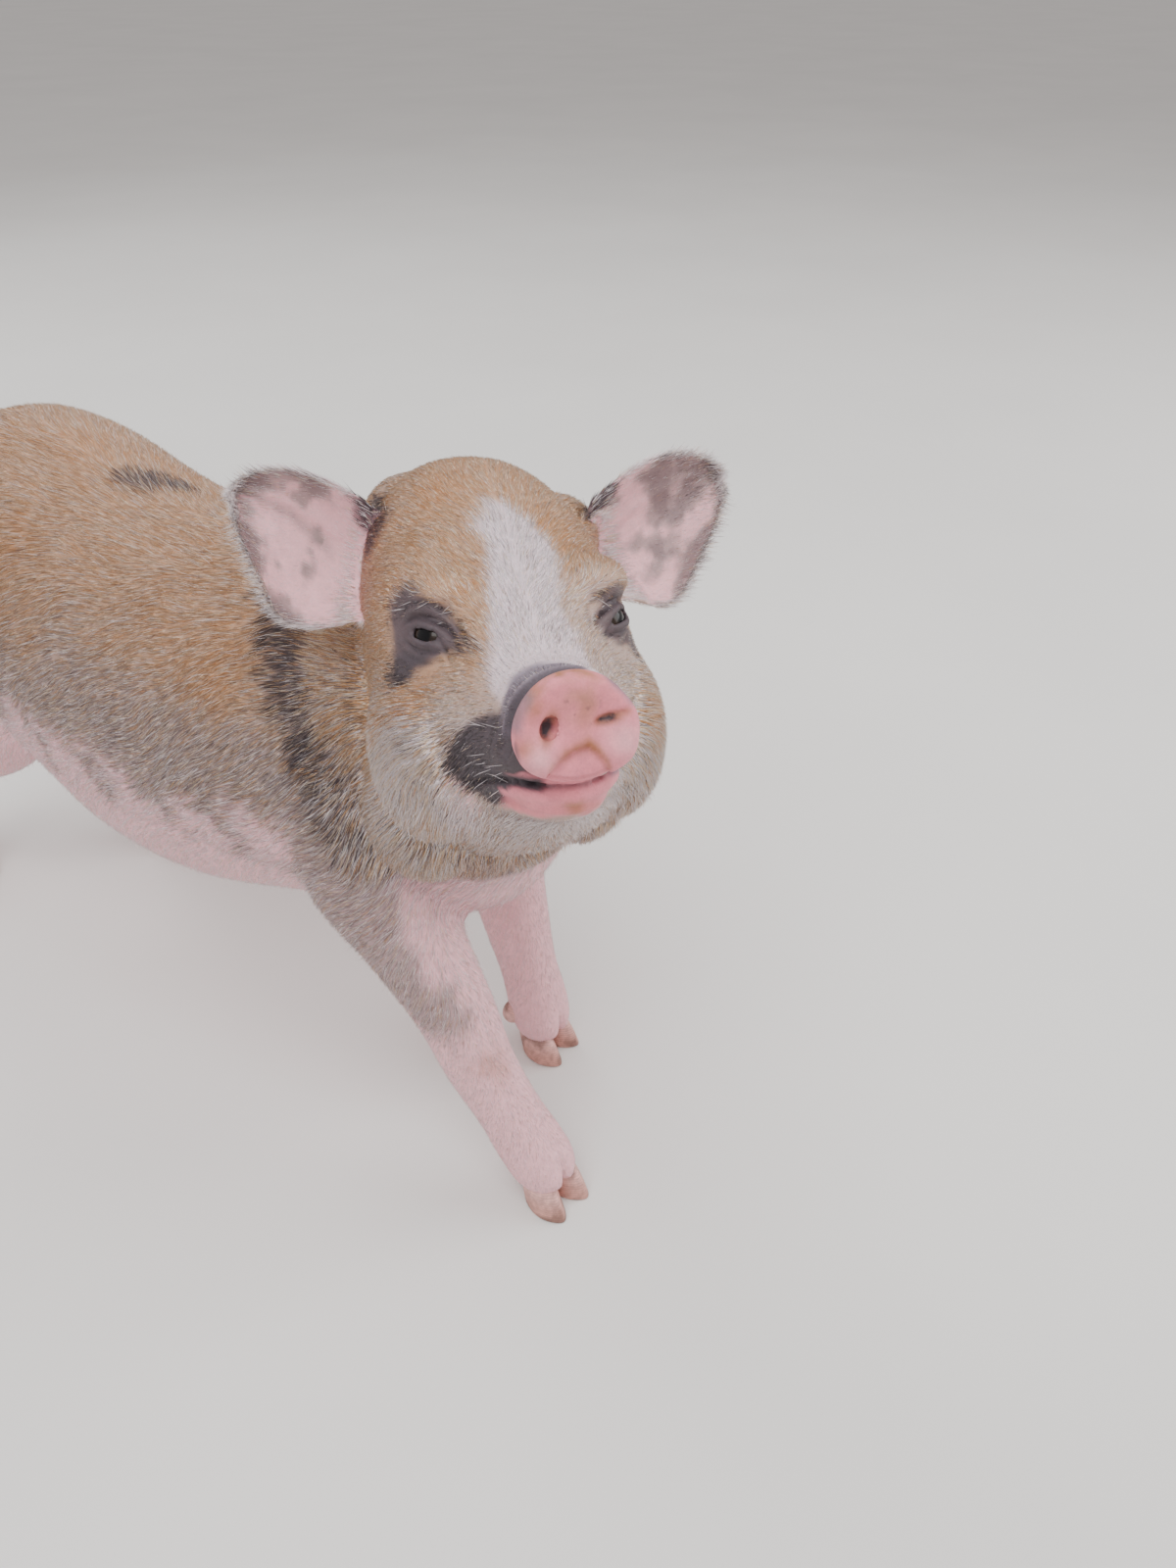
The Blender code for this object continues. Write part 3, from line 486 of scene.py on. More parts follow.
def mix(a, b, share):
    """Goes from a to b by share, which has one axis fewer."""
    share = np.asarray(share)[..., None]
    return np.asarray(a) * (1 - share) + np.asarray(b) * share


def read(rows, value, column=1):
    """Reads a column of a table at a value of its first column, by straight lines between rows."""
    rows = np.asarray(rows)
    return np.interp(value, rows[:, 0], rows[:, column])


def spline(rows, count):
    """Reads a smooth Catmull-Rom curve through the rows at count even steps."""
    rows = np.asarray(rows, float)
    padded = np.vstack([2 * rows[0] - rows[1], rows, 2 * rows[-1] - rows[-2]])
    at = np.linspace(0, len(rows) - 1, count)
    first = np.minimum(at.astype(int), len(rows) - 2)
    t = (at - first)[:, None]
    a, b, c, d = (padded[first + k] for k in range(4))
    cubic = (3 * b - a - 3 * c + d) * t**3
    return 0.5 * (2 * b + (c - a) * t + (2 * a - 5 * b + 4 * c - d) * t**2 + cubic)


def ripple(points, size, seed, layers=3):
    """Smooth noise from about -1 to 1: random values on a lattice, each finer layer half as strong."""
    lattice = np.random.default_rng(seed).uniform(-1, 1, (32, 32, 32))
    total = np.zeros(len(points))
    for layer in range(layers):
        at = points / size * 2**layer + 5.7 * layer + 900
        cell = np.floor(at).astype(int)
        t = at - cell
        t = t * t * (3 - 2 * t)
        for corner in itertools.product((0, 1), repeat=3):
            share = np.prod(np.where(corner, t, 1 - t), axis=1)
            i, j, k = ((cell + corner) % 32).T
            total += share * lattice[i, j, k] / 2**layer
    return total * 1.25


def around(count):
    """Even angles of a full turn."""
    return np.linspace(0, 2 * math.pi, count, endpoint=False)


def rings_of(middles, side, up, half_width, above, below, sides, squareness):
    """Rings of a superellipse at each middle, with unlike heights above and below it."""
    angle = around(sides)
    cosine, sine = np.cos(angle), np.sin(angle)
    across = np.sign(cosine) * np.abs(cosine) ** (2 / squareness)
    upright = np.sign(sine) * np.abs(sine) ** (2 / squareness)
    height = np.where(sine > 0, above[:, None], below[:, None]) * upright
    return (
        middles[:, None, :]
        + (half_width[:, None] * across)[..., None] * side[:, None, :]
        + height[..., None] * up[:, None, :]
    )


def outward(points, faces):
    """Turns a closed surface's faces outward, by the sign of the volume that they hold."""
    fans = [faces[:, (0, k, k + 1)] for k in range(1, faces.shape[1] - 1)]
    a, b, c = (points[np.concatenate(fans)[:, k]] for k in range(3))
    return faces if np.einsum("ij,ij", a, np.cross(b, c)) > 0 else faces[:, ::-1]


def loft(rings):
    """Points and triangles of a closed surface through equal rings, with a pole at each end."""
    count, sides = rings.shape[:2]
    grid = np.arange(count * sides).reshape(count, sides)
    turned = np.roll(grid, -1, axis=1)
    quads = np.stack([grid[:-1], turned[:-1], turned[1:], grid[1:]], -1).reshape(-1, 4)
    start = np.stack([np.full(sides, count * sides), turned[0], grid[0]], -1)
    end = np.stack([np.full(sides, count * sides + 1), grid[-1], turned[-1]], -1)
    points = np.vstack([rings.reshape(-1, 3), rings[0].mean(0), rings[-1].mean(0)])
    faces = np.vstack([quads[:, :3], quads[:, (0, 2, 3)], start, end])
    return points, outward(points, faces)


def sphere(polar, angle):
    """Points of a sphere of radius 1, by the angle from its first axis and the angle around it."""
    wide = np.sin(polar)
    return np.stack([np.cos(polar) + 0 * angle, wide * np.cos(angle), wide * np.sin(angle)], -1)


def ball(middle, radii, turn=None, rings=16, sides=24):
    """An ellipsoid: circles whose size is the sine and whose place is the cosine of an angle."""
    polar = np.linspace(0.12, math.pi - 0.12, rings)[:, None]
    angle = around(sides)
    shape = sphere(polar, angle) * radii
    if turn is not None:
        shape = shape @ np.array(turn.to_3x3()).T
    return loft(shape + np.asarray(middle))


def joined(surfaces):
    """One set of points and faces from several."""
    starts = np.cumsum([0] + [len(points) for points, _ in surfaces[:-1]])
    points = np.vstack([points for points, _ in surfaces])
    return points, np.vstack([faces + start for (_, faces), start in zip(surfaces, starts)])


def moved(surface, matrix):
    """Carries a surface by a matrix, and keeps its faces turned out where the matrix mirrors."""
    points, faces = surface
    place = np.array(matrix)
    points = points @ place[:3, :3].T + place[:3, 3]
    return points, (faces if np.linalg.det(place[:3, :3]) > 0 else faces[:, ::-1])


def within(points, matrix):
    """Reads points in the axes that a matrix gives."""
    place = np.linalg.inv(np.array(matrix))
    return points @ place[:3, :3].T + place[:3, 3]


def mesh_from(name, points, faces):
    """Puts whole arrays of points and faces into a mesh."""
    mesh = bpy.data.meshes.new(name)
    mesh.vertices.add(len(points))
    mesh.vertices.foreach_set("co", np.ascontiguousarray(points, np.float32).ravel())
    mesh.loops.add(faces.size)
    mesh.loops.foreach_set("vertex_index", np.ascontiguousarray(faces, np.int32).ravel())
    mesh.polygons.add(len(faces))
    starts = np.arange(0, faces.size, faces.shape[1], dtype=np.int32)
    mesh.polygons.foreach_set("loop_start", starts)
    mesh.update(calc_edges=True)
    mesh.shade_smooth()
    return mesh


def triangles_of(mesh):
    """Reads a mesh back as whole arrays of points and triangles."""
    mesh.calc_loop_triangles()
    points = np.empty(len(mesh.vertices) * 3, np.float32)
    mesh.vertices.foreach_get("co", points)
    faces = np.empty(len(mesh.loop_triangles) * 3, np.int32)
    mesh.loop_triangles.foreach_get("vertices", faces)
    return points.reshape(-1, 3).astype(float), faces.reshape(-1, 3)


def placed(name, data):
    """Makes an object of a mesh, lamp or camera in the scene."""
    obj = bpy.data.objects.new(name, data)
    bpy.context.scene.collection.objects.link(obj)
    return obj


def worked(surface, *steps, group=None):
    """Puts a surface through modifiers, given as kind and settings, and reads the outcome back."""
    mesh = mesh_from("work", *surface)
    obj = placed("work", mesh)
    if group is not None:
        holder = obj.vertex_groups.new(name="thin")
        for level in np.unique(group):
            holder.add(np.flatnonzero(group == level).tolist(), float(level), "REPLACE")
    for kind, settings in steps:
        modifier = obj.modifiers.new(kind, kind)
        for key, value in settings.items():
            setattr(modifier, key, value)
    graph = bpy.context.evaluated_depsgraph_get()
    done = bpy.data.meshes.new_from_object(obj.evaluated_get(graph))
    outcome = triangles_of(done)
    bpy.data.objects.remove(obj, do_unlink=True)
    bpy.data.meshes.remove(mesh)
    bpy.data.meshes.remove(done)
    return outcome


def cut(surface, tool, operation="DIFFERENCE"):
    """Joins two closed surfaces, or takes the second out of the first."""
    cutter = placed("cutter", mesh_from("cutter", *tool))
    settings = {"operation": operation, "solver": "MANIFOLD", "object": cutter}
    outcome = worked(surface, ("BOOLEAN", settings))
    mesh = cutter.data
    bpy.data.objects.remove(cutter, do_unlink=True)
    bpy.data.meshes.remove(mesh)
    return outcome


def remeshed(surface, cell, times):
    """Fuses closed surfaces into one by cells of a size, and smooths it that many times."""
    fuse = {"mode": "VOXEL", "voxel_size": cell}
    return worked(surface, ("REMESH", fuse), ("SMOOTH", {"factor": 0.5, "iterations": times}))


def normals_of(points, faces):
    """The normal at each point: the sum of the areas of the faces around it."""
    a, b, c = (points[faces[:, k]] for k in range(3))
    across = np.cross(b - a, c - a)
    total = np.zeros_like(points)
    for axis in range(3):
        for corner in range(3):
            total[:, axis] += np.bincount(faces[:, corner], across[:, axis], len(points))
    return unit(total)


def sunk(points, faces, depth):
    """A surface moved in along its normals by a depth at each point."""
    return points - normals_of(points, faces) * depth[:, None], faces


def turned_axes(yaw, pitch, roll=0.0):
    """Axes ahead, to the left and up, turned to the pig's right by yaw and raised by pitch."""
    level = math.cos(pitch)
    ahead = Vector((-math.sin(yaw) * level, -math.cos(yaw) * level, math.sin(pitch)))
    left = Vector((math.cos(yaw), -math.sin(yaw), 0))
    left.rotate(Matrix.Rotation(roll, 3, ahead))
    return Matrix((ahead, left, ahead.cross(left))).transposed().to_4x4()


def sided(place, sign):
    """A place or direction on the pig's left, or its mirror on the right where sign is -1."""
    return Vector((place[0], sign * place[1], place[2]))


def eye_axes(sign):
    """The eye's own axes: out of the head, toward the back corner, and up the lids."""
    out = sided(EYE_FACING, sign).normalized()
    back = Vector((-1, 0, -0.10))
    back = (back - back.project(out)).normalized()
    up = out.cross(back) * sign
    up = -up if up.z < 0 else up
    axes = Matrix((out, back, up)).transposed().to_4x4()
    return Matrix.Translation(sided(EYE_PLACE, sign)) @ axes


def ear_axes(sign):
    """The ear's own axes: along it, across it, and out of its cup."""
    lift = EAR_LIFT[sign]
    along = sided((-0.10, math.cos(lift), math.sin(lift)), sign).normalized()
    facing = sided(EAR_FACING, sign)
    facing = (facing - facing.project(along)).normalized()
    across = facing.cross(along)
    across = -across if across.z < 0 else across
    axes = Matrix((along, across, facing)).transposed().to_4x4()
    return Matrix.Translation(sided(EAR_ROOT, sign)) @ axes


HEAD_SPOT = Matrix.Translation(HEAD_JOINT + Vector(SHIFT))
HEAD = HEAD_SPOT @ turned_axes(HEAD_YAW, HEAD_PITCH, HEAD_ROLL) @ Matrix.Scale(HEAD_SIZE, 4)
EYES = {sign: HEAD @ eye_axes(sign) for sign in (-1, 1)}
EARS = {sign: HEAD @ ear_axes(sign) for sign in (-1, 1)}


def upright_axes(side, rings):
    """One side and one upward direction for every ring of a form."""
    return np.tile(side, (rings, 1)), np.tile((0, 0, 1.0), (rings, 1))


def trunk_form(rings=48, sides=56):
    """The trunk, from chest to rump."""
    along, top, bottom, half_width = spline(TRUNK, rings).T
    middle = bottom + 0.45 * (top - bottom)
    middles = np.stack([np.zeros(rings), along, middle], 1) + SHIFT
    side, up = upright_axes((1.0, 0, 0), rings)
    return loft(rings_of(middles, side, up, half_width, top - middle, middle - bottom, sides, 2.08))


def skull_form(rings=36, sides=48):
    """The skull, whose crown leans to the pig's right."""
    ahead, top, bottom, half_width = spline(SKULL, rings).T
    middle = bottom + 0.47 * (top - bottom)
    middles = np.stack([ahead, np.zeros(rings), middle], 1)
    side, up = upright_axes((0, 1.0, 0), rings)
    shape = rings_of(middles, side, up, half_width, top - middle, middle - bottom, sides, 2.3)
    shape[..., 1] -= CROWN_LEAN * np.maximum(shape[..., 2], 0)
    return loft(shape)


def round_form(stations, rings=28, sides=48):
    """A loft along the head's axis, whose stations give a middle, half width and half height."""
    ahead, middle, half_width, half_height = spline(stations, rings).T
    middles = np.stack([ahead, np.zeros(rings), middle], 1)
    side, up = upright_axes((0, 1.0, 0), rings)
    return loft(rings_of(middles, side, up, half_width, half_height, half_height, sides, 2.1))


def limb_form(stations, sides, squareness, rings=40):
    """A leg or the tail: half width is the fourth column of its stations, and half depth the last."""
    rows = spline(stations, rings)
    middles = rows[:, :3] + SHIFT
    side = np.tile((1.0, 0, 0), (rings, 1))
    back = unit(np.cross(side, np.gradient(middles, axis=0)))
    deep = rows[:, -1]
    return loft(rings_of(middles, side, back, rows[:, 3], deep, deep, sides, squareness))


def neck_form(rings=28, sides=44):
    """The neck runs from inside the shoulders into the back of the head."""
    start, end = np.array(NECK_START), np.array(HEAD @ Vector(NECK_END)) - SHIFT
    middle = (start + end) / 2 + NECK_BEND
    rows = spline(np.hstack([(start, middle, end), NECK_SIZES]), rings)
    blend = np.linspace(0, 1, rings)[:, None]
    left = np.array(HEAD.to_3x3().col[1])
    side = (1 - blend) * np.array((1.0, 0, 0)) + blend * unit(left)
    tangent = unit(-np.gradient(rows[:, :3], axis=0))
    up = unit(np.cross(side, tangent))
    side = unit(np.cross(tangent, up))
    middles = rows[:, :3] + SHIFT
    return loft(rings_of(middles, side, up, rows[:, 3], rows[:, 4], rows[:, 5], sides, 2.1))


def mouth_line(count):
    """The line of the mouth from corner to corner, with its tangent and its outward side."""
    half = spline(MOUTH, count)
    line = np.vstack([(half * (1, -1, 1))[:0:-1], half])
    tangent = unit(np.gradient(line, axis=0))
    out = unit(np.cross(tangent, np.tile((0, 0, 1.0), (len(line), 1))))
    out *= np.sign((out * (line - (0.09, 0, -0.02))).sum(1, keepdims=True))
    return line, tangent, out


def mouth_cut():
    """A thin ribbon along the line of the mouth."""
    line, tangent, out = mouth_line(16)
    up = unit(np.cross(tangent, out))
    up *= np.sign(up[:, 2:])
    thick, wide = (np.full(len(line), half) for half in MOUTH_CUT)
    return moved(loft(rings_of(line, out, up, wide, thick, thick, 10, 2.0)), HEAD)


def lip_form(drop, inset, radius):
    """A soft roll along one lip, thinner at its ends."""
    line, _, out = mouth_line(14)
    sideways = np.abs(line[:, 1:2]) / LIP_REACH
    line = line + (inset, 0, drop)
    line[:, 1:2] += np.sign(line[:, 1:2]) * inset * sideways
    up = np.tile((0, 0, 1.0), (len(line), 1))
    size = np.sin(np.linspace(0.25, math.pi - 0.25, len(line))) ** 0.5 * radius
    return moved(loft(rings_of(line, out, up, size, size, size, 12, 2.0)), HEAD)


def eye_opening(sign):
    """The slit between the lids: an almond, wider on its outer side, as a prism along the eye's axis."""
    angle = around(28)
    across = EYE_LENGTH * np.cos(angle)
    height = np.where(np.sin(angle) > 0, *EYE_HEIGHTS)
    upright = height * np.sign(np.sin(angle)) * np.abs(np.sin(angle)) ** 1.25
    rings = [
        np.stack([np.full(28, depth), across * scale, upright * scale], 1)
        for depth, scale in EYE_SLIT
    ]
    return moved(loft(np.array(rings)), EYES[sign])


def leaf(s, t, sign):
    """The ear's middle surface, s from root to tip and t from its lower edge to its upper one.

    Half its width is W/2 (1 - s^2.6)^0.62 (0.66 + 1.05 s - 0.72 s^2). It curls by t squared.
    Its lower edge swells to a lobe by a bell curve of s, and draws in toward the root.
    """
    half = EAR_WIDTH / 2 * np.maximum(1 - s**2.6, 0) ** 0.62 * (0.66 + 1.05 * s - 0.72 * s**2)
    half = half * (0.72 + 0.28 * step(s, -0.02, 0.18))
    along = EAR_LENGTHS[sign] * (s - EAR_SUNK) + 0 * t
    upper = 0.34 * EAR_WIDTH * s**1.5
    deep, place = EAR_LOBE[sign]
    lobe = deep * groove(s - place, 0.16) - 0.26 * half * step(s, 0.42, 0.14)
    curl = 0.016 * (1 - s) ** 0.8 + 0.0045
    facing = curl * t**2 + 0.010 * s**2 - 0.004
    across = half * t + upper + lobe * np.minimum(t, 0)
    return along, across, facing + 0 * s, half, upper, lobe


def ear_form(sign, lengths=60, widths=44, swell=0.0, reach=0.992):
    """The ear as a thin cupped leaf with two low ribs inside, or with swell its fleshy root."""
    s = np.linspace(0, reach, lengths)[:, None]
    t = np.linspace(-1, 1, widths)[None, :]
    along, across, facing, _, _, _ = leaf(s, t, sign)
    thick = EAR_THICKNESS * (1 - 0.40 * s) * (1 - 0.72 * t**4)
    thick = thick + swell * np.clip(1 - s / 0.50, 0, 1) ** 1.6 * (1 - 0.35 * t**2)
    fade = np.sin(math.pi * s) ** 0.5
    ribs = 0.0007 * groove(t - 0.30 - 0.25 * s, 0.10) * fade
    ribs = ribs + 0.0005 * groove(t + 0.25 - 0.15 * s, 0.10) * fade
    wave = 0.0006 * np.sin(9 * s + 2 * t) * s * np.abs(t)
    front = facing + thick / 2 + ribs * (swell == 0) + wave
    back = facing - thick / 2 + wave
    grids = [np.stack([along + 0 * t, across, face + 0 * along], -1) for face in (front, back)]
    count = lengths * widths
    points = np.concatenate([grid.reshape(-1, 3) for grid in grids])
    cell = np.arange(count).reshape(lengths, widths)
    a, b, c, d = cell[:-1, :-1], cell[:-1, 1:], cell[1:, 1:], cell[1:, :-1]
    top = np.stack([a, b, c, a, c, d], -1).reshape(-1, 3)
    low = count + np.stack([a, c, b, a, d, c], -1).reshape(-1, 3)
    rim = np.concatenate([cell[0], cell[1:, -1], cell[-1, -2::-1], cell[-2:0:-1, 0]])
    after = np.roll(rim, -1)
    wall = np.stack([rim, count + rim, count + after, rim, count + after, after], -1).reshape(-1, 3)
    faces = np.vstack([top, low, wall])
    return moved((points, outward(points, faces)), EARS[sign])


def groove(away, width):
    """A bell curve across a fold: 1 on its line, and falling by the square of the distance."""
    return np.exp(-((away / width) ** 2))


def disc_reach(l, u):
    """How far out a place on the snout disc lies: 0 in its middle and 1 on its edge."""
    half_width, half_height, middle = DISC_FACE
    return np.hypot(l / half_width, (u - middle) / half_height)


def lid_folds(points):
    """Depth of the creases that arch over and under each eye, and of the one from its front corner."""
    depth = np.zeros(len(points))
    for sign in (-1, 1):
        out, back, up = within(points, EYES[sign]).T
        near = (out > 0.001) * step(np.hypot(back, up), 0.024, 0.017)
        for height, drop, reach, deep, width in LID_FOLDS:
            line = height + drop * (back / 0.010) ** 2
            long = step(np.abs(back + 0.001), reach, 0.6 * reach)
            depth += near * deep * groove(up - line, width) * long
        corner = near_line(np.stack([back, up], 1), (-EYE_LENGTH, -0.0006), (-0.0130, -0.0058))
        depth += near * 0.0008 * groove(corner, 0.0008)
        rise = np.hypot(back / (EYE_LENGTH + 0.0012), up / (EYE_HEIGHTS[0] + 0.0012))
        depth -= near * 0.0004 * groove(rise - 1.1, 0.30)
    return depth


def toe_clefts(points):
    """Depth of the cleft that runs up each foot from between its claws, in front and behind."""
    depth = np.zeros(len(points))
    for across, along, turn in FEET.values():
        x, y = (points - SHIFT - (across, along, 0)).T[:2]
        aside = x * math.cos(turn) + y * math.sin(turn)
        near = step(np.hypot(x, y), 0.030, 0.022) * step(points[:, 2], 0.030, 0.013)
        depth += near * 0.0032 * groove(aside, 0.0020)
    return depth


def folds(points, local):
    """How deep the folds of lids, snout, lips and cheeks lie under the skin at each point."""
    f, l, u = local.T
    wide = np.abs(l)
    ridge = read(RIDGE, u)
    rings = step(f, 0.100, 0.106) * step(f, 0.1305, 0.1285) * step(u, -0.010, 0.0)
    depth = rings * (0.0019 * groove(f - ridge - 0.0040, 0.0015) - 0.0013 * groove(f - ridge, 0.0019))
    behind = 0.0008 * groove(f - ridge + 0.0046, 0.0013) + 0.0004 * groove(f - ridge + 0.0110, 0.0013)
    depth += rings * behind
    depth += lid_folds(points)
    chin = step(f, 0.094, 0.106) * step(wide, 0.019, 0.013)
    depth += 0.0008 * chin * groove(u + 0.0268 - 0.0030 * (wide / 0.014) ** 2, 0.0011)
    depth += 0.0005 * chin * groove(u + 0.0330 - 0.0030 * (wide / 0.014) ** 2, 0.0013)
    mirrored = np.stack([f, wide, u], 1)
    for start, end, deep, width in CHEEK_FOLDS:
        depth += deep * groove(near_line(mirrored, start, end), width)
    front = step(f, 0.1325, 0.1350)
    arch = front * step(l, -0.0108, -0.0088) * step(l, 0.0094, 0.0074)
    below = u - read(ARCH, l)
    depth += arch * (0.0022 * step(below, 0.0008, -0.0014) + 0.0006 * groove(below, 0.0009))
    depth += front * 0.0013 * step(np.hypot(l / 0.0165, (u - 0.0040) / 0.0130), 1.0, 0.1)
    for across, upright, rise, reach in DISC_LOBES:
        depth -= front * rise * groove(np.hypot(l - across, u - upright), reach)
    depth += front * 0.0008 * step(disc_reach(l, u), 0.84, 1.02)
    slit = near_line(local * (0, 1, 1), (0, 0.0060, 0.0040), (0, 0.0125, 0.0062))
    depth += front * 0.0013 * groove(slit, 0.0010)
    for place, _, _ in NOSTRILS.values():
        depth += front * 0.0011 * groove(np.hypot(l - place[1], u - place[2]), 0.0040)
    return depth


def skin_surface():
    """Fuses the forms of the body, sinks them by the coat's depth, and cuts the face into them."""
    face = [skull_form(), round_form(MUZZLE), round_form(JAW)]
    for middle, radii in LUMPS:
        for sign in (-1, 1):
            face.append(ball(np.array(middle) * (1, sign, 1), radii))
    face += [ball(middle, radii) for middle, radii in SIDE_LUMPS]
    forms = [trunk_form(), neck_form()] + [moved(form, HEAD) for form in face]
    forms += [limb_form(stations, 28, 2.2) for stations in LEGS.values()]
    points, faces = remeshed(joined(forms), FUSE_CELL, 13)
    ahead = within(points, HEAD)[:, 0]
    head = step(ahead, 0.0, 0.03) * step(points[:, 2], 0.13, 0.16)
    leg = step(points[:, 2], 0.12, 0.08)
    depth = DEPTH_TRUNK + (DEPTH_HEAD - DEPTH_TRUNK) * head + (DEPTH_LEG - DEPTH_TRUNK) * leg
    body = sunk(points, faces, depth)
    disc, faces = round_form(DISC)
    disc[:, 1] *= 1.03 - 0.13 * step(disc[:, 2], -0.004, 0.019)
    extras = [moved((disc, faces), HEAD), limb_form(TAIL, 14, 2.0)]
    extras += [lip_form(*lip) for lip in LIPS]
    for sign in (-1, 1):
        extras.append(ear_form(sign, 30, 20, swell=0.0060, reach=0.49))
        extras.append(moved(ball((0, 0, 0), (EYE_RADIUS + SOCKET_WALL,) * 3), EYES[sign]))
    for extra in extras:
        body = cut(body, extra, "UNION")
    body = cut(body, mouth_cut())
    for sign in (-1, 1):
        place, radii, lean = NOSTRILS[sign]
        hole = ball(place, radii, Matrix.Rotation(math.radians(lean), 4, "X"))
        body = cut(body, moved(hole, HEAD))
        body = cut(body, moved(ball((0, 0, 0), (EYE_RADIUS + SOCKET_ROOM,) * 3), EYES[sign]))
        body = cut(body, eye_opening(sign))
    points, faces = remeshed(body, FACE_CELL, 2)
    local = within(points, HEAD)
    body = sunk(points, faces, folds(points, local) + toe_clefts(points))
    thin = 1.0 - 0.9 * step(local[:, 0], 0.02, 0.05) * step(points[:, 2], 0.14, 0.16)
    share = min(1.0, SKIN_TRIANGLES / len(faces))
    settings = {"ratio": share, "vertex_group": "thin", "vertex_group_factor": 0.8}
    body = worked(body, ("DECIMATE", settings), group=np.round(thin, 1))
    for sign in (-1, 1):
        body = cut(body, ear_form(sign), "UNION")
    return body


class Places:
    """Where points lie in the axes of the head, the ears, the legs and the tail."""

    def __init__(self, points):
        self.table = points - SHIFT
        self.head = within(points, HEAD)
        plane = HEAD_SPOT @ turned_axes(HEAD_YAW * 0.66, HEAD_PITCH * 1.26)
        ahead = within(points, plane)[:, 0]
        self.in_head = step(ahead, -0.026, 0.002) * step(self.table[:, 2], 0.154, 0.166)
        self.ear = np.zeros(len(points))
        self.ear_s = np.zeros(len(points))
        self.ear_t = np.zeros(len(points))
        self.ear_front = np.zeros(len(points))
        for sign in (-1, 1):
            along, across, facing = within(points, EARS[sign]).T
            s = along / EAR_LENGTHS[sign] + EAR_SUNK
            held = np.clip(s, 0, 0.99)
            _, _, _, half, upper, lobe = leaf(held, np.zeros_like(held), sign)
            t = (across - upper) / np.maximum(np.where(across < upper, half + lobe, half), 1e-4)
            middle = leaf(held, np.clip(t, -1.1, 1.1), sign)[2]
            edge = 1.04 + 0.16 * step(s, 0.25, 0.45)
            mine = (s > 0.13) & (s < 1.03) & (np.abs(t) < edge) & (np.abs(facing - middle) < 0.0045)
            self.ear[mine] = sign
            self.ear_s[mine] = s[mine]
            self.ear_t[mine] = t[mine]
            self.ear_front[mine] = (facing > middle)[mine]
        self.leg = step(points[:, 2], 0.112, 0.080)
        self.leg_angle = np.zeros(len(points))
        self.leg_index = np.zeros(len(points), int)
        nearest = np.full(len(points), np.inf)
        for index, stations in enumerate(LEGS.values()):
            rows = np.asarray(stations)[::-1]
            x, y = (np.interp(self.table[:, 2], rows[:, 2], rows[:, k]) for k in (0, 1))
            aside, along = self.table[:, 0] - x, self.table[:, 1] - y
            away = np.hypot(aside, along)
            mine = away < nearest
            nearest = np.where(mine, away, nearest)
            self.leg_index[mine] = index
            self.leg_angle[mine] = np.arctan2(aside, along)[mine]
        line = spline(TAIL, 60)
        away = np.linalg.norm(self.table[:, None, :] - line[None, 12:, :3], axis=2)
        self.tail = step(away.min(1), 0.0085, 0.0060)


def near_line(points, start, end):
    """Distance from points to the line between two places."""
    start, end = np.asarray(start, float), np.asarray(end, float)
    run = end - start
    share = np.clip((points - start) @ run / max(run @ run, 1e-12), 0, 1)
    return np.linalg.norm(points - start - share[:, None] * run, axis=1)


def patch(points, start, end, radius, edge=0.0016):
    """A round or long spot about a line, with a soft edge."""
    return step(near_line(points, start, end), radius + edge, radius - edge)


def shape_mask(across, upright, corners, edge=0.0016):
    """Whether points lie inside a many-sided shape: by counting crossings, with a soft edge."""
    points = np.stack([across, upright], 1)
    corners = np.asarray(corners, float)
    away = np.full(len(points), np.inf)
    inside = np.zeros(len(points), bool)
    for start, end in zip(corners, np.roll(corners, -1, axis=0)):
        away = np.minimum(away, near_line(points, start, end))
        spans = (start[1] > upright) != (end[1] > upright)
        rise = end[1] - start[1] if end[1] != start[1] else 1e-9
        inside ^= spans & (across < start[0] + (upright - start[1]) / rise * (end[0] - start[0]))
    return step(np.where(inside, away, -away), -edge, edge)


# Colour zones. Besides their own colours, the dark zone and the brown zone of soil also serve as painted
# shade in the creases of lids, snout and mouth, in and around the nostrils and along the disc's arch,
# and the white zone as a painted highlight on the ridge behind the disc
ZONES = ("tan", "cream", "white", "grey", "dark", "pink", "disc", "soil", "lid", "fold", "orange")
ZONE_SKIN = np.array(
    (
        (0.42, 0.25, 0.165),
        (0.46, 0.33, 0.29),
        (0.66, 0.53, 0.57),
        (0.30, 0.225, 0.22),
        (0.060, 0.046, 0.056),
        (0.85, 0.47, 0.51),
        (0.77, 0.24, 0.29),
        (0.40, 0.15, 0.075),
        (0.092, 0.066, 0.076),
        (0.185, 0.150, 0.195),
        (0.44, 0.23, 0.12),
    )
)
TONES = ("white", "cream", "tan", "orange", "grey", "dark")
ZONE_HAIR = np.array(
    (
        (0.04, 0.30, 0.49, 0.12, 0.04, 0.01),
        (0.42, 0.38, 0.08, 0.02, 0.08, 0.02),
        (0.82, 0.08, 0.00, 0.00, 0.09, 0.01),
        (0.24, 0.18, 0.16, 0.00, 0.37, 0.05),
        (0.02, 0.01, 0.00, 0.00, 0.09, 0.88),
        (0.84, 0.16, 0.00, 0.00, 0.00, 0.00),
        (0.90, 0.10, 0.00, 0.00, 0.00, 0.00),
        (0.60, 0.20, 0.20, 0.00, 0.00, 0.00),
        (0.03, 0.02, 0.00, 0.00, 0.27, 0.68),
        (0.50, 0.10, 0.00, 0.00, 0.40, 0.00),
        (0.02, 0.18, 0.30, 0.47, 0.03, 0.00),
    )
)


def part_of(share, zone):
    """The share of one colour zone."""
    return share[:, ZONES.index(zone)]


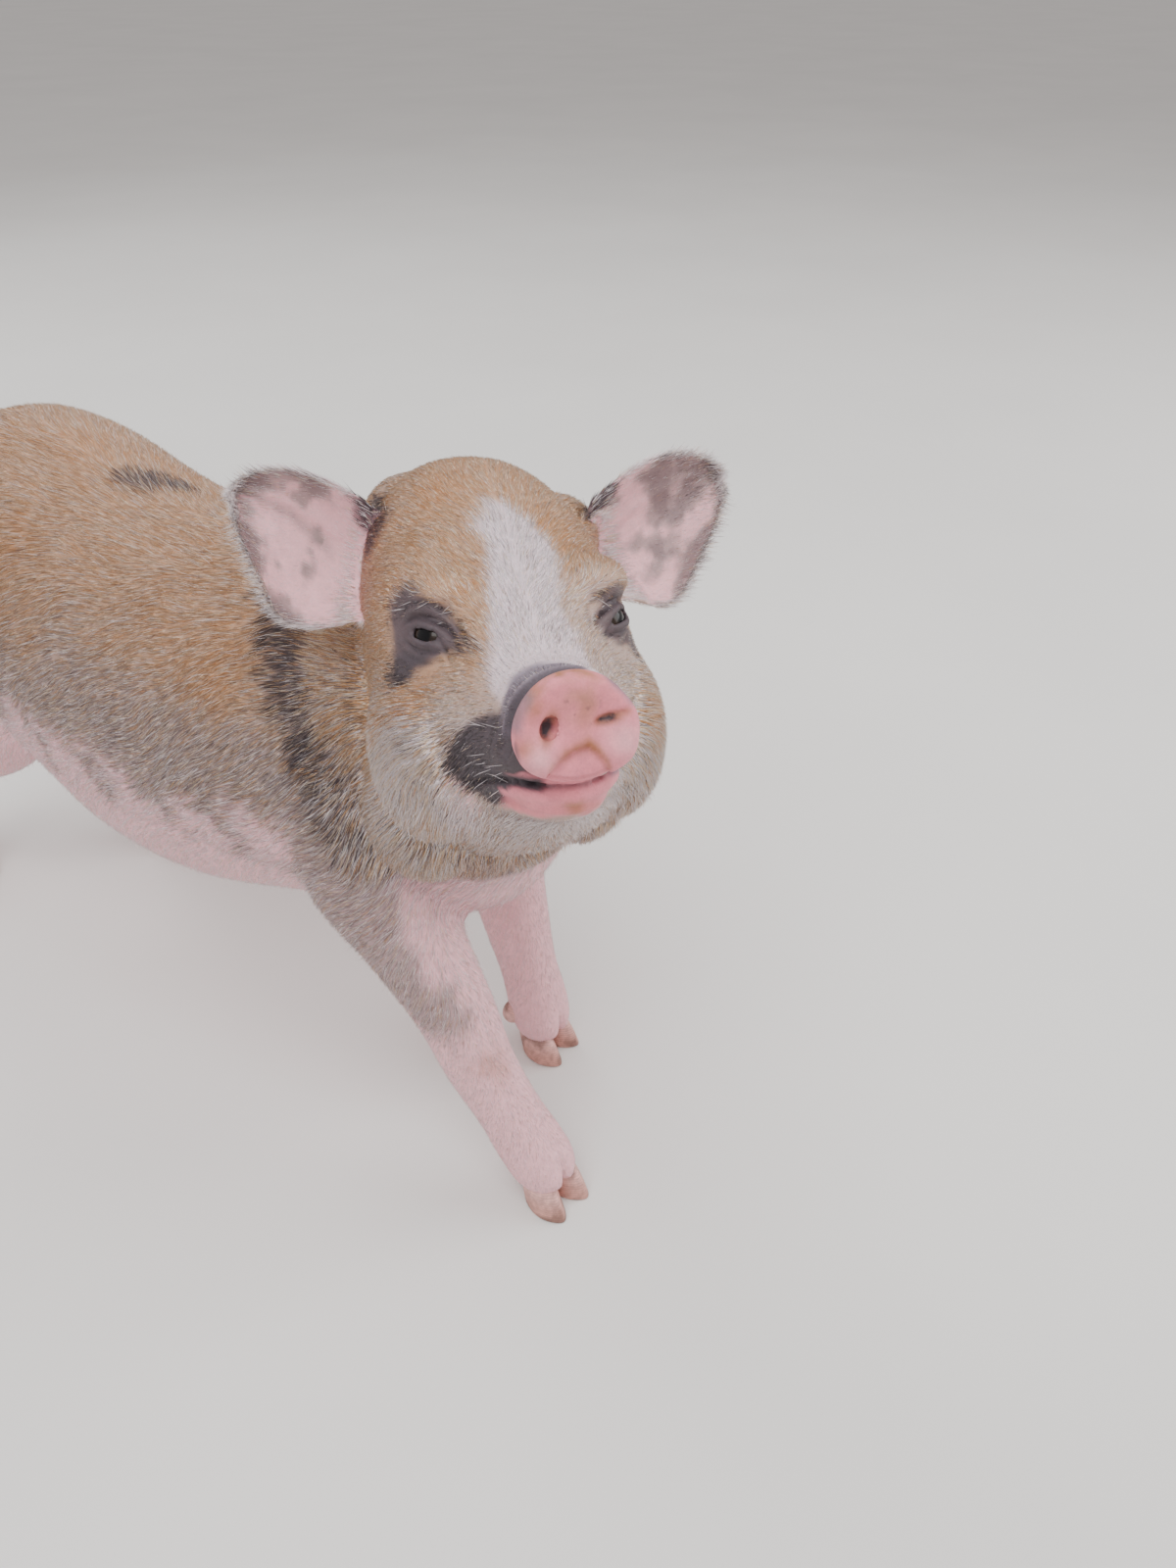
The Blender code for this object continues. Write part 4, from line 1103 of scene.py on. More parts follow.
def zones_of(points, at):
    """The share of each colour zone at each point: each marking takes its share from those before it."""
    share = np.zeros((len(points), len(ZONES)))
    share[:, 0] = 1

    def lay(zone, mask):
        mask = np.clip(mask, 0, 1)[:, None]
        share[:] = share * (1 - mask)
        part_of(share, zone)[:] += mask[:, 0]

    warp = np.stack([ripple(points, 0.011, seed, 3) for seed in (11, 12, 13)], 1)
    x, y, z = (at.table + 0.006 * warp).T
    body = 1 - at.in_head
    blotch = ripple(points, 0.010, 21, 3)
    broad = ripple(points, 0.045, 22, 2)
    lay("orange", body * step(broad, 0.15, 0.75) * step(z, 0.190, 0.215) * 0.5)
    lay("grey", body * step(z + 0.010 * broad, 0.220, 0.186) * 0.80)
    lay("grey", body * step(y, 0.035, 0.0) * 0.35)
    lay("pink", body * step(z + 0.004 * blotch, 0.174, 0.156))
    mottle = step(blotch, 0.05, 0.32) * step(z, 0.140, 0.156) * step(z, 0.200, 0.178)
    lay("grey", body * mottle * 0.85)
    lay("pink", at.leg)
    table = at.table + 0.004 * warp
    chest = step(y, 0.016, -0.006) * step(z, 0.182, 0.166)
    lay("pink", body * np.maximum(chest, step(y, -0.026, -0.038) * step(z, 0.205, 0.190)) * 0.95)
    for start, end, radius in NECK_BLOTCHES:
        lay("dark", (1 - at.ear**2) * patch(table, start, end, radius, 0.0045) * 0.80)
    edge = read(LEG_GREY, z)
    outer = step(x, edge + 0.003, edge - 0.002) * step(y, 0.012, 0.000)
    lay("grey", body * outer * step(z, 0.084, 0.098) * step(z, 0.200, 0.180) * 0.80)
    lay("soil", 0.45 * patch(table, (-0.045, -0.067, 0.076), (-0.040, -0.072, 0.070), 0.006, 0.004))
    paint_face(lay, share, points, at, warp)
    paint_snout(lay, points, at)
    ear = np.abs(at.ear)
    s, t = at.ear_s, at.ear_t
    lay("pink", ear * at.ear_front)
    lay("grey", ear * (1 - at.ear_front) * 0.8)
    spots = ripple(points, 0.0075, 41, 3)
    bias = 1.7 * (s - 0.64 + 0.04 * at.ear) + 0.55 * step(t, -0.60, -0.95) * step(s, 0.25, 0.45)
    bias = bias + 0.45 * step(t, 0.3, 0.7) * s
    lay("grey", ear * step(0.55 * spots + bias, -0.02, 0.40) * 0.80)
    band = groove(t - 0.08 - 0.55 * (s - 0.30), 0.11) * step(s, 0.34, 0.46) * (at.ear < 0)
    lay("grey", ear * at.ear_front * band * (0.55 + 0.3 * spots))
    lay("dark", ear * step(0.60 * spots + bias, 0.42, 0.66) * 0.40)
    lay("tan", ear * (1 - at.ear_front) * step(s, 0.5, 0.2) * 0.8)
    local = at.head + 0.0024 * warp
    for place, radius in EAR_ROOT_SPOTS:
        lay("dark", patch(local, place, np.add(place, (0.010, 0, -0.006)), radius) * 0.80)
    lay("pink", at.tail * 0.8)
    return share


def paint_face(lay, share, points, at, warp):
    """Lays the markings of the face but for the snout disc, in the head's axes, with painted shade in
    the creases of the lids, in the folds behind the disc and along the mouth, and a painted highlight on
    the ridge behind the disc.
    """
    local = at.head + 0.0022 * warp
    f, l, u = local.T
    head = at.in_head * (1 - at.ear**2)
    right, left = head * step(l, 0.001, -0.001), head * step(l, -0.001, 0.001)
    broad = ripple(points, 0.014, 23, 2)
    for place, radius in FOREHEAD_BLOTCHES:
        lay("orange", head * patch(local, place, place, radius, 0.006) * 0.75)
    lay("grey", head * step(f, 0.030, 0.005) * step(u, 0.040, 0.060) * 0.35)
    lay("cream", head * step(u, 0.018, 0.002) * step(f, 0.035, 0.060) * 0.92)
    lay("cream", left * step(f, 0.066, 0.080) * step(l, 0.006, 0.014) * 0.92)
    lay("white", head * step(broad, -0.1, 0.5) * step(u, 0.008, -0.004) * step(f, 0.060, 0.080) * 0.5)
    for start, end, radius, much in CHEEK_BLOTCHES:
        lay("orange", head * patch(local, start, end, radius, 0.005) * much)
    lay("grey", head * step(u, -0.026, -0.046) * step(f, 0.100, 0.080) * 0.60)
    jowl = patch(local, (0.070, -0.044, -0.020), (0.040, -0.044, -0.036), 0.014, 0.010)
    lay("white", right * jowl * 0.40)
    lay("tan", head * step(u, -0.027, -0.036) * step(f, 0.050, 0.070) * 0.35)
    lay("grey", head * step(f, 0.030, 0.002) * step(u, 0.020, 0.0) * 0.60)
    cheek = patch(local, (0.0870, -0.027, -0.0260), (0.0800, -0.024, -0.0350), 0.0065, 0.005)
    lay("pink", right * cheek * 0.75)
    first, last, soft = read(BLAZE, f, 1), read(BLAZE, f, 2), 0.0022
    inside = step(l, first - soft, first + soft)
    inside = inside * step(l, last + soft, last - soft)
    floor = read(BLAZE_FLOOR, f)
    lay("white", head * inside * step(f, 0.048, 0.053) * step(u, floor - 0.002, floor + 0.003))
    aside = step(np.abs(l) - read(LID_INNER, f), -0.0018, 0.0012)
    lay("lid", right * aside * shape_mask(f, u, RIGHT_LID, 0.0026) * 0.97)
    lay("lid", left * aside * shape_mask(f, u, LEFT_LID, 0.0026) * 0.92)
    # Painted shade: the dark lids are darkened further in their creases, by how deep each crease is cut
    creases = np.clip(lid_folds(points) / 0.0012, 0, 1)
    lay("dark", head * (part_of(share, "lid") > 0.3) * creases * 0.65)
    lay("dark", head * groove(eye_distance(at), 0.0055) * 0.85)
    lay("dark", right * shape_mask(f, u, UNDER_LID, 0.0022) * 0.85)
    lay("dark", right * shape_mask(f, u, MUZZLE_PATCH) * 0.97)
    f0, l0, u0 = at.head.T
    fold = step(f, 0.1075, 0.1135) * step(l0, 0.0085, 0.0050) * step(u0, -0.003, 0.003)
    ridge = read(RIDGE, u0)
    lay("fold", head * fold * 0.95)
    # Painted shade in the groove between the ridge and the disc and in the crease behind the ridge, and
    # a painted highlight along the ridge
    lay("dark", head * fold * step(f0, ridge, ridge + 0.0016) * 0.85)
    lay("dark", head * fold * groove(f0 - ridge + 0.0046, 0.0020) * 0.70)
    lay("white", head * fold * groove(f0 - ridge + 0.0014, 0.0018) * 0.16)
    beside = step(f0, 0.1190, 0.1220) * step(l0, 0.0090, 0.0120) * step(u0, 0.000, 0.004)
    lay("fold", left * beside * 0.6)
    lips = step(u, -0.0110, -0.0128) * step(f, 0.100, 0.110) * step(u, -0.0275, -0.0250)
    low = step(u, -0.0168, -0.0180) * step(l, -0.0185, -0.0165)
    lips = lips * np.maximum(step(l, -0.0150, -0.0128), low)
    lay("disc", head * lips * step(l, 0.0200, 0.0175) * 0.95)
    lay("soil", head * lips * step(u, -0.0195, -0.0240) * (0.22 + 0.20 * broad))
    stain = patch(at.head, (0.127, 0.0000, -0.0212), (0.127, 0.0012, -0.0240), 0.0024, 0.0020)
    lay("soil", head * stain * 0.80)
    lay("grey", head * step(f, 0.088, 0.100) * step(u, -0.0262, -0.0285) * step(l, 0.004, -0.004) * 0.8)
    line = read(MOUTH_HEIGHTS, f0)
    # Painted shade along the slit between the lips, darker on the pig's right
    mouth = step(f0, 0.096, 0.104) * groove(u0 - line, 0.0011) * step(np.abs(l0), 0.023, 0.020)
    lay("dark", head * mouth * (0.60 + 0.35 * step(l0, -0.004, -0.008)))
    corner = step(f0, 0.090, 0.098) * step(u0, line - 0.0024, line - 0.0010) * step(u0, -0.0115, -0.0135)
    lay("dark", head * corner * step(l0, -0.0070, -0.0095) * 0.97)
    lay("fold", head * corner * step(l0, 0.0110, 0.0150) * 0.70)


def paint_snout(lay, points, at):
    """Lays the snout disc's pink, its stains and specks, and painted shade in and around its nostrils,
    along the left nostril's slit and in the crease of the arch, with paler pink, partly a painted
    highlight, on its lobes.
    """
    f0, l0, u0 = at.head.T
    disc = at.in_head * (1 - at.ear**2) * step(f0, 0.1285, 0.1300)
    lay("disc", disc)
    fine = ripple(points, 0.0035, 31, 3)
    edge = disc * step(disc_reach(l0, u0), 0.80, 0.97)
    lay("soil", edge * step(u0, 0.002, 0.010) * step(l0, 0.010, 0.003) * (0.62 + 0.4 * fine))
    # Brown soil in the crease of the arch between the disc's lower lobes, laid wide and strong also as
    # painted shade of the crease
    arch = disc * step(l0, -0.0100, -0.0086) * step(l0, 0.0090, 0.0074)
    band = groove(u0 - read(ARCH, l0) - 0.0008, 0.0022)
    lay("soil", arch * band * (0.55 + 0.30 * step(l0, -0.003, 0.002) + 0.35 * fine))
    warm = groove(np.hypot(l0 - 0.0015, u0 - 0.0100), 0.0062)
    lay("orange", disc * warm * (0.40 + 0.25 * fine))
    # Paler pink on the disc's lobes: partly their own paler skin, partly a painted highlight where they
    # bulge
    pale = groove(np.hypot(l0 + 0.0120, u0 + 0.0040), 0.0045)
    pale = pale + groove(np.hypot(l0 - 0.0125, u0 + 0.0015), 0.0050)
    lay("pink", disc * pale * 0.55)
    bridge = near_line(at.head, (0.138, 0.0022, 0.0080), (0.138, 0.0020, 0.0040))
    lay("soil", disc * groove(bridge, 0.0026) * 0.30)
    for place, reach, much in DISC_STAINS:
        lay("soil", disc * groove(near_line(at.head, place, place), reach) * (much + 0.3 * fine))
    lay("fold", edge * step(l0, 0.0075, 0.0110) * step(u0, 0.0060, 0.0090) * 0.80)
    lay("fold", edge * step(l0, -0.0100, -0.0130) * step(u0, 0.0010, 0.0050) * 0.70)
    rim = patch(at.head, (0.136, -0.0170, -0.0010), (0.136, -0.0165, -0.0030), 0.0016, 0.0012)
    lay("dark", edge * rim * 0.6)
    specks = step(ripple(points, 0.0014, 32, 1), 0.66, 0.90)
    specks = specks * step(np.hypot(l0 - 0.001, u0 - 0.0085), 0.0065, 0.0045)
    lay("dark", disc * specks * 0.5)
    # A brown line of painted shade along the slit that runs out from the left nostril
    slit = near_line(at.head * (0, 1, 1), (0, 0.0060, 0.0040), (0, 0.0135, 0.0064))
    lay("soil", disc * groove(slit, 0.0011) * 0.65)
    for place, radii, lean in NOSTRILS.values():
        turn = math.radians(lean)
        across, upright = l0 - place[1], u0 - place[2]
        aside = across * math.cos(turn) + upright * math.sin(turn)
        along = upright * math.cos(turn) - across * math.sin(turn)
        hole = np.hypot(aside / radii[1], along / radii[2])
        # Painted shade: brown around each nostril, darker toward it, and dark inside it where it is deep
        deep = step(hole, 1.30, 0.90) * step(f0, 0.1386, 0.1372)
        lay("soil", disc * step(hole, 2.6, 1.0) * 0.75)
        lay("dark", disc * step(hole, 1.8, 0.9) * 0.35)
        lay("dark", disc * deep)


def lie_of(points, normals, at, seed):
    """The way the hair lies: back over head and trunk, down the cheeks and legs, out along the ears."""
    _, l, u = at.head.T
    side = np.sign(l)
    down = 0.15 + 0.75 * step(u, 0.010, -0.030)
    spread = 0.15 + 0.35 * step(np.abs(l), 0.004, 0.030) * step(u, -0.02, 0.02)
    local = np.stack([-np.ones(len(l)), side * spread, -down * step(np.abs(l), 0.004, 0.024)], 1)
    head = unit(local @ unit(np.array(HEAD.to_3x3()).T))
    sag = 0.25 + 0.45 * step(np.abs(at.table[:, 0]), 0.01, 0.06)
    trunk = unit(np.stack([0.15 * np.sign(at.table[:, 0]), np.ones(len(l)), -sag], 1))
    lie = mix(trunk, head, at.in_head)
    lie = mix(lie, np.array((0.0, 0.25, -1.0)), step(at.table[:, 2], 0.150, 0.105) * (1 - at.in_head))
    for sign in (-1, 1):
        axes = np.array(EARS[sign].to_3x3())
        along, across = unit(axes[:, 0]), unit(axes[:, 1])
        mine = at.ear == sign
        lie[mine] = along + across * (0.55 * at.ear_t[mine])[:, None]
    lie = mix(lie, np.array((0.0, 0.1, -1.0)), at.tail)
    sway = np.stack([ripple(points, 0.016, seed + k, 2) for k in range(3)], 1)
    lie = lie + 0.26 * sway + 0.10 * np.random.default_rng(seed).normal(size=lie.shape)
    return unit(lie - normals * (lie * normals).sum(1, keepdims=True))


def lie_map(at):
    """A map in metres, across and along the coat, for the skin's streaks."""
    angle = np.arctan2(at.table[:, 0], at.table[:, 2] - TRUNK_AXIS) * 0.075
    lie = np.stack([angle, at.table[:, 1]], 1)
    head = np.stack([np.arctan2(at.head[:, 1], at.head[:, 2]) * 0.04, at.head[:, 0]], 1)
    lie = np.where((at.in_head > 0.5)[:, None], head, lie)
    leg = np.stack([at.leg_angle * 0.015, at.table[:, 2]], 1)
    return np.where((at.leg > 0.5)[:, None], leg, lie)


def unwrap(at):
    """A flat map of the skin: head, trunk, legs, ears and tail each rolled open in a tile of its own."""
    head_angle = np.arctan2(at.head[:, 1], at.head[:, 2]) / (2 * math.pi) + 0.5
    head_along = np.clip((at.head[:, 0] + 0.05) / 0.20, 0, 1)
    trunk_angle = np.arctan2(at.table[:, 0], at.table[:, 2] - TRUNK_AXIS) / (2 * math.pi) + 0.5
    trunk_along = np.clip((at.table[:, 1] + 0.07) / 0.37, 0, 1)
    place = np.stack([0.01 + 0.47 * trunk_angle, 0.01 + 0.97 * trunk_along], 1)
    head = np.stack([0.51 + 0.47 * head_angle, 0.51 + 0.47 * head_along], 1)
    place = np.where((at.in_head > 0.5)[:, None], head, place)
    leg_angle = at.leg_angle / (2 * math.pi) + 0.5
    leg_across = 0.51 + 0.12 * at.leg_index + 0.10 * leg_angle
    leg = np.stack([leg_across, 0.26 + 0.23 * at.table[:, 2] / 0.13], 1)
    place = np.where((at.leg > 0.5)[:, None], leg, place)
    row = 0.01 + 0.12 * (at.ear > 0)
    ear = np.stack([0.51 + 0.24 * at.ear_front + 0.22 * at.ear_s, row + 0.05 * (at.ear_t + 1.2)], 1)
    place = np.where((at.ear != 0)[:, None], ear, place)
    tail = np.stack([0.985 + 0 * head_angle, 0.02 + 0.9 * at.table[:, 2]], 1)
    return np.where((at.tail > 0.5)[:, None], tail, place)


def map_onto(mesh, name, places, faces):
    """Keeps a flat map, given for each point, on the corners of a mesh's faces."""
    corners = np.ascontiguousarray(places[faces.ravel()], np.float32)
    mesh.uv_layers.new(name=name).uv.foreach_set("vector", corners.ravel())


def tint(mesh, colours):
    """Keeps a colour for each point of a mesh, for its material to read."""
    layer = mesh.color_attributes.new("Tint", "FLOAT_COLOR", "POINT")
    rows = np.ones((len(colours), 4), np.float32)
    rows[:, :3] = colours
    layer.data.foreach_set("color", rows.ravel())


def add_piece(name, mesh, material, *nodes):
    """Makes an object of a mesh, rides it on the body, and lets it stand for the nodes named."""
    if name in bpy.data.objects:
        raise RuntimeError(f"{name} is there already")
    obj = placed(name, mesh)
    mesh.materials.append(material)
    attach(obj, "root")
    if nodes:
        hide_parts(*nodes)
    return obj


# A bent tuft has a three sided root, a three sided middle and a tip: which corners each face joins
BENT_FACES = np.array(
    (
        (0, 2, 1),
        (0, 1, 4),
        (0, 4, 3),
        (1, 2, 5),
        (1, 5, 4),
        (2, 0, 3),
        (2, 3, 5),
        (3, 4, 6),
        (4, 5, 6),
        (5, 3, 6),
    )
)
# A straight one has a three sided root and a tip
STRAIGHT_FACES = np.array(((0, 2, 1), (0, 1, 3), (1, 2, 3), (2, 0, 3)))
# Where each corner of a tuft lies in its patch of the flat map
TUFT_PATCH = 0.0015 * np.array(((-1, -1), (1, -1), (0, -0.6), (-0.8, 0), (0.8, 0), (0, 0.3), (0, 1)))


def tuft_mesh(name, roots, normals, lie, length, width, lift, colours, places, bent):
    """Tufts that rise from their roots by lift, lean over toward the skin, and end in a point."""
    normals = unit(normals)
    lift = lift[:, None]
    first = unit(lie * np.cos(lift) + normals * np.sin(lift))
    second = unit(lie * np.cos(0.25 * lift) + normals * np.sin(0.25 * lift))
    side = unit(np.cross(first, normals))
    top = np.cross(side, first)
    half = (length / 2)[:, None]
    start = roots - normals * 0.0003
    bend = start + first * half
    tip = bend + second * half
    wide = width[:, None] / 2
    rings = []
    for place, scale in ((start, 1.0), (bend, 0.78))[: 1 + bent]:
        rings += [place - side * wide * scale, place + side * wide * scale, place + top * wide * scale]
    points = np.stack([*rings, tip], 1)
    size = points.shape[1]
    each = BENT_FACES if bent else STRAIGHT_FACES
    faces = (each[None] + size * np.arange(len(roots))[:, None, None]).reshape(-1, 3)
    faces = outward(points.reshape(-1, 3), faces)
    mesh = mesh_from(name, points.reshape(-1, 3), faces)
    # Painted shade toward each tuft's root and painted light at its tip
    shade = np.array(TUFT_SHADES)[-size:]
    tint(mesh, np.clip(colours[:, None, :] * shade[None, :, None], 0, 1).reshape(-1, 3))
    corners = TUFT_PATCH if bent else TUFT_PATCH[[0, 1, 2, 6]]
    spots = (places[:, None, :] + corners[None]).reshape(-1, 2)
    map_onto(mesh, "OFBake", spots, faces)
    return mesh


def scattered(points, faces, normals, weight, count, seed):
    """Roots spread over the skin as densely as weight asks, by even steps through the summed areas."""
    random = np.random.default_rng(seed)
    a, b, c = (points[faces[:, k]] for k in range(3))
    area = np.linalg.norm(np.cross(b - a, c - a), axis=1) / 2 * weight
    reach = np.cumsum(area)
    at = (np.arange(count) + random.uniform(0, 1, count)) / count * reach[-1]
    face = np.minimum(np.searchsorted(reach, at), len(faces) - 1)
    one, two = random.uniform(0, 1, (2, count))
    flip = one + two > 1
    one, two = np.where(flip, 1 - one, one), np.where(flip, 1 - two, two)
    share = np.stack([1 - one - two, one, two], 1)[..., None]
    corners = faces[face]
    return (points[corners] * share).sum(1), unit((normals[corners] * share).sum(1)), face


def swell_along(points, faces, normals, face, lie):
    """How fast the skin bends along the hair at each root: above 0 over a swelling, below 0 in a hollow.

    It is lie . dn/dlie, with the normal's change read from the three corners of the face.
    """
    a, b, c = (points[faces[face, k]] for k in range(3))
    across = np.cross(b - a, c - a)
    size = np.maximum((across**2).sum(1, keepdims=True), 1e-18)
    bend = np.zeros(len(face))
    for corner, (start, end) in enumerate(((b, c), (c, a), (a, b))):
        slope = (np.cross(across, end - start) / size * lie).sum(1)
        bend += slope * (normals[faces[face, corner]] * lie).sum(1)
    return np.clip(bend, -120, 120)


def hair_tones(share, seed):
    """Picks a tone for each tuft by the odds of its zones, and varies it a little."""
    random = np.random.default_rng(seed)
    odds = np.cumsum(share @ ZONE_HAIR, axis=1)
    pick = (random.uniform(0, 1, (len(share), 1)) * odds[:, -1:] > odds).sum(1)
    tones = np.array([HAIR[name] for name in TONES])[np.minimum(pick, len(TONES) - 1)]
    tones = tones * random.uniform(0.88, 1.10, (len(share), 1))
    return tones * random.uniform(0.97, 1.03, (len(share), 3))


def eye_distance(at):
    """Distance to the line along each eye's opening, in the head's axes."""
    aside, up = EYE_PLACE[1] + 0.0061, EYE_PLACE[2] + 0.0026
    start, end = ((EYE_PLACE[0] + ahead, aside, up) for ahead in (0.0015, 0.0085))
    return near_line(at.head * (1, 0, 1) + np.abs(at.head) * (0, 1, 0), start, end)


def ear_rim(at):
    """How near a place on the ear lies to its rim: 1 on it."""
    return np.clip(np.maximum(np.abs(at.ear_t) * step(at.ear_s, 0.20, 0.36), at.ear_s * 1.02), 0, 1)


class Lengths:
    """How long, wide and upright the tufts are over the body."""

    def __init__(self, at):
        f, _, u = at.head.T
        near_snout = step(f, 0.085, 0.122)
        cheek = step(u, 0.012, -0.015) * step(f, 0.10, 0.07)
        head = SHORT["head"] + 0.0030 * cheek - 0.0026 * near_snout + 0.0012 * step(u, -0.030, -0.050)
        head = head * (0.42 + 0.58 * step(eye_distance(at), 0.006, 0.018))
        trunk = SHORT["trunk"] - 0.0014 * step(at.table[:, 2], 0.160, 0.130)
        length = trunk + (head - trunk) * at.in_head
        length = length + (SHORT["leg"] - length) * at.leg
        length = length - 0.0012 * step(at.table[:, 2], 0.045, 0.015)
        ear = np.abs(at.ear)
        outer = SHORT["ear"] + 0.0030 * ear_rim(at) ** 8 + 0.0028 * step(at.ear_s, 0.38, 0.24)
        length = np.where(ear > 0, outer, length)
        self.length = length + (SHORT["tail"] - length) * at.tail
        self.width = np.clip(self.length * 0.060, 0.00020, 0.00042)
        self.lift = np.where(ear > 0, 0.30, 0.22 - 0.04 * at.in_head)


def coat_weight(at, share):
    """How densely each place grows hair: none on the disc, the wet lips, and inside eye and mouth."""
    f, l, u = at.head.T
    bare = part_of(share, "disc") + 0.9 * part_of(share, "fold")
    bare = bare + 0.40 * part_of(share, "lid") * step(eye_distance(at), 0.015, 0.009)
    bare = bare + at.in_head * step(f, 0.1235, 0.1260) * step(np.abs(l), 0.020, 0.016)
    mouth = step(f, 0.108, 0.114) * step(u, -0.0280, -0.0230) * step(u, -0.0110, -0.0130)
    bare = np.clip(bare + at.in_head * mouth * step(np.abs(l), 0.020, 0.017), 0, 1)
    weight = 0.52 + 0.95 * at.in_head
    weight = weight + (0.60 - weight) * at.leg
    weight = weight * (1 - 0.35 * part_of(share, "pink") * (1 - at.leg) * (1 - np.abs(at.ear)))
    rim = ear_rim(at)
    inside = 0.24 + 0.50 * step(at.ear_s, 0.55, 0.85) + 0.8 * rim**10 + 1.1 * step(at.ear_s, 0.36, 0.24)
    ear = np.where(at.ear_front > 0, inside, 1.0 + 0.4 * rim**10)
    weight = np.where(at.ear != 0, ear, weight)
    weight = weight * step(eye_distance(at), 0.0052, 0.0085)
    weight = weight * step(at.table[:, 2], 0.012, 0.018)
    return np.maximum(weight * (1 - bare), 0)


def long_weight(at, share):
    """Where the few long hairs grow: whiskers, brows, chin, jowls, rims of the ears, and tail."""
    f, l, u = at.head.T
    head = at.in_head * (at.ear == 0) * (1 - part_of(share, "disc")) * (1 - part_of(share, "fold"))
    whisker = step(f, 0.086, 0.096) * step(f, 0.124, 0.116)
    whisker = whisker * step(np.abs(l), 0.010, 0.015) * step(u, 0.004, -0.002)
    eye = eye_distance(at)
    brow = step(eye, 0.0090, 0.0110) * step(eye, 0.0170, 0.0130) * step(u, 0.026, 0.031)
    chin = step(u, -0.026, -0.031) * step(f, 0.060, 0.085)
    jowl = step(u, -0.020, -0.040) * step(f, 0.095, 0.080)
    weight = head * (0.015 * whisker + 0.06 * brow + 0.36 * chin + 0.10 * jowl)
    weight = np.maximum(weight, (at.ear != 0) * 1.2 * step(ear_rim(at), 0.93, 0.98))
    weight = np.maximum(weight, 0.02 * (1 - at.in_head) * (1 - at.leg) * (at.ear == 0))
    return np.maximum(weight, 2.5 * at.tail * step(at.table[:, 2], 0.125, 0.100)) + 1e-6


def long_length(at):
    """How long the long hairs are: on the muzzle, over the eyes, on the ears and at the tail's end."""
    f, _, u = at.head.T
    eye = eye_distance(at)
    in_head = at.in_head > 0.5
    length = np.where(in_head, LONG["head"], LONG["trunk"])
    length = np.where(in_head & (f > 0.086) & (u < 0.004) & (u > -0.024), LONG["muzzle"], length)
    length = np.where((eye < 0.0170) & (u > 0.018), LONG["brow"], length)
    length = np.where(at.ear != 0, LONG["ear"], length)
    return np.where(at.tail > 0.5, LONG["tail"], length)


def material_of(name, roughness, specular, **more):
    """A new material, its node tree and its shader. In the names of more inputs, _ is a space."""
    material = bpy.data.materials.new(name)
    material.use_nodes = True
    tree = material.node_tree
    shader = tree.nodes["Principled BSDF"]
    shader.inputs["Roughness"].default_value = roughness
    shader.inputs["Specular IOR Level"].default_value = specular
    for key, value in more.items():
        shader.inputs[key.replace("_", " ")].default_value = value
    return material, tree, shader


def node(tree, kind, **values):
    """Adds a node, and sets its inputs by name and its options by attribute."""
    made = tree.nodes.new(kind)
    for key, value in values.items():
        if key in made.inputs:
            made.inputs[key].default_value = value
        else:
            setattr(made, key, value)
    return made


def speckle(tree, scale, detail=3.0, vector=None):
    """Fine noise in the model's own space."""
    if vector is None:
        vector = tree.nodes.new("ShaderNodeTexCoord").outputs["Object"]
    noise = node(tree, "ShaderNodeTexNoise", Scale=scale, Detail=detail, Roughness=0.6)
    tree.links.new(vector, noise.inputs["Vector"])
    return noise.outputs["Fac"]


def varied(tree, colour, fac, low, high):
    """Multiplies a colour by a grey that runs from low to high with fac."""
    reach = {"From Min": 0.3, "From Max": 0.7, "To Min": low, "To Max": high}
    ramp = node(tree, "ShaderNodeMapRange", **reach)
    tree.links.new(fac, ramp.inputs["Value"])
    blend = node(tree, "ShaderNodeMix", data_type="RGBA", blend_type="MULTIPLY")
    blend.inputs["Factor"].default_value = 1.0
    tree.links.new(colour, blend.inputs["A"])
    tree.links.new(ramp.outputs["Result"], blend.inputs["B"])
    return blend.outputs["Result"]


def tinted(tree, shader, *layers):
    """Gives the shader the mesh's own colour, varied by noises that each have a low and a high."""
    colour = node(tree, "ShaderNodeAttribute", attribute_name="Tint").outputs["Color"]
    for fac, low, high in layers:
        colour = varied(tree, colour, fac, low, high)
    tree.links.new(colour, shader.inputs["Base Color"])


def bump(tree, shader, *layers):
    """Stacks bumps, each a height, a strength and a distance, and gives the last to the shader."""
    before = None
    for height, strength, distance in layers:
        made = node(tree, "ShaderNodeBump", Strength=strength, Distance=distance)
        tree.links.new(height, made.inputs["Height"])
        if before is not None:
            tree.links.new(before, made.inputs["Normal"])
        before = made.outputs["Normal"]
    tree.links.new(before, shader.inputs["Normal"])


def skin_material():
    """Skin: blotched tint, fine pores, and streaks of short flat hair along the lie of the coat."""
    material, tree, shader = material_of(
        "pig_skin",
        0.58,
        0.35,
        Subsurface_Weight=0.10,
        Subsurface_Radius=(1.0, 0.35, 0.25),
        Subsurface_Scale=0.003,
    )
    tinted(tree, shader, (speckle(tree, 260.0), 0.90, 1.08), (speckle(tree, 1400.0), 0.93, 1.05))
    along = node(tree, "ShaderNodeUVMap", uv_map="Lie").outputs["UV"]
    stretch = node(tree, "ShaderNodeMapping", Scale=(1500.0, 190.0, 1.0))
    tree.links.new(along, stretch.inputs["Vector"])
    streaks = speckle(tree, 1.0, 2.0, stretch.outputs["Vector"])
    bump(
        tree,
        shader,
        (streaks, 0.30, 0.0004),
        (speckle(tree, 620.0), 0.22, 0.0006),
        (speckle(tree, 2600.0), 0.14, 0.0002),
    )
    return material


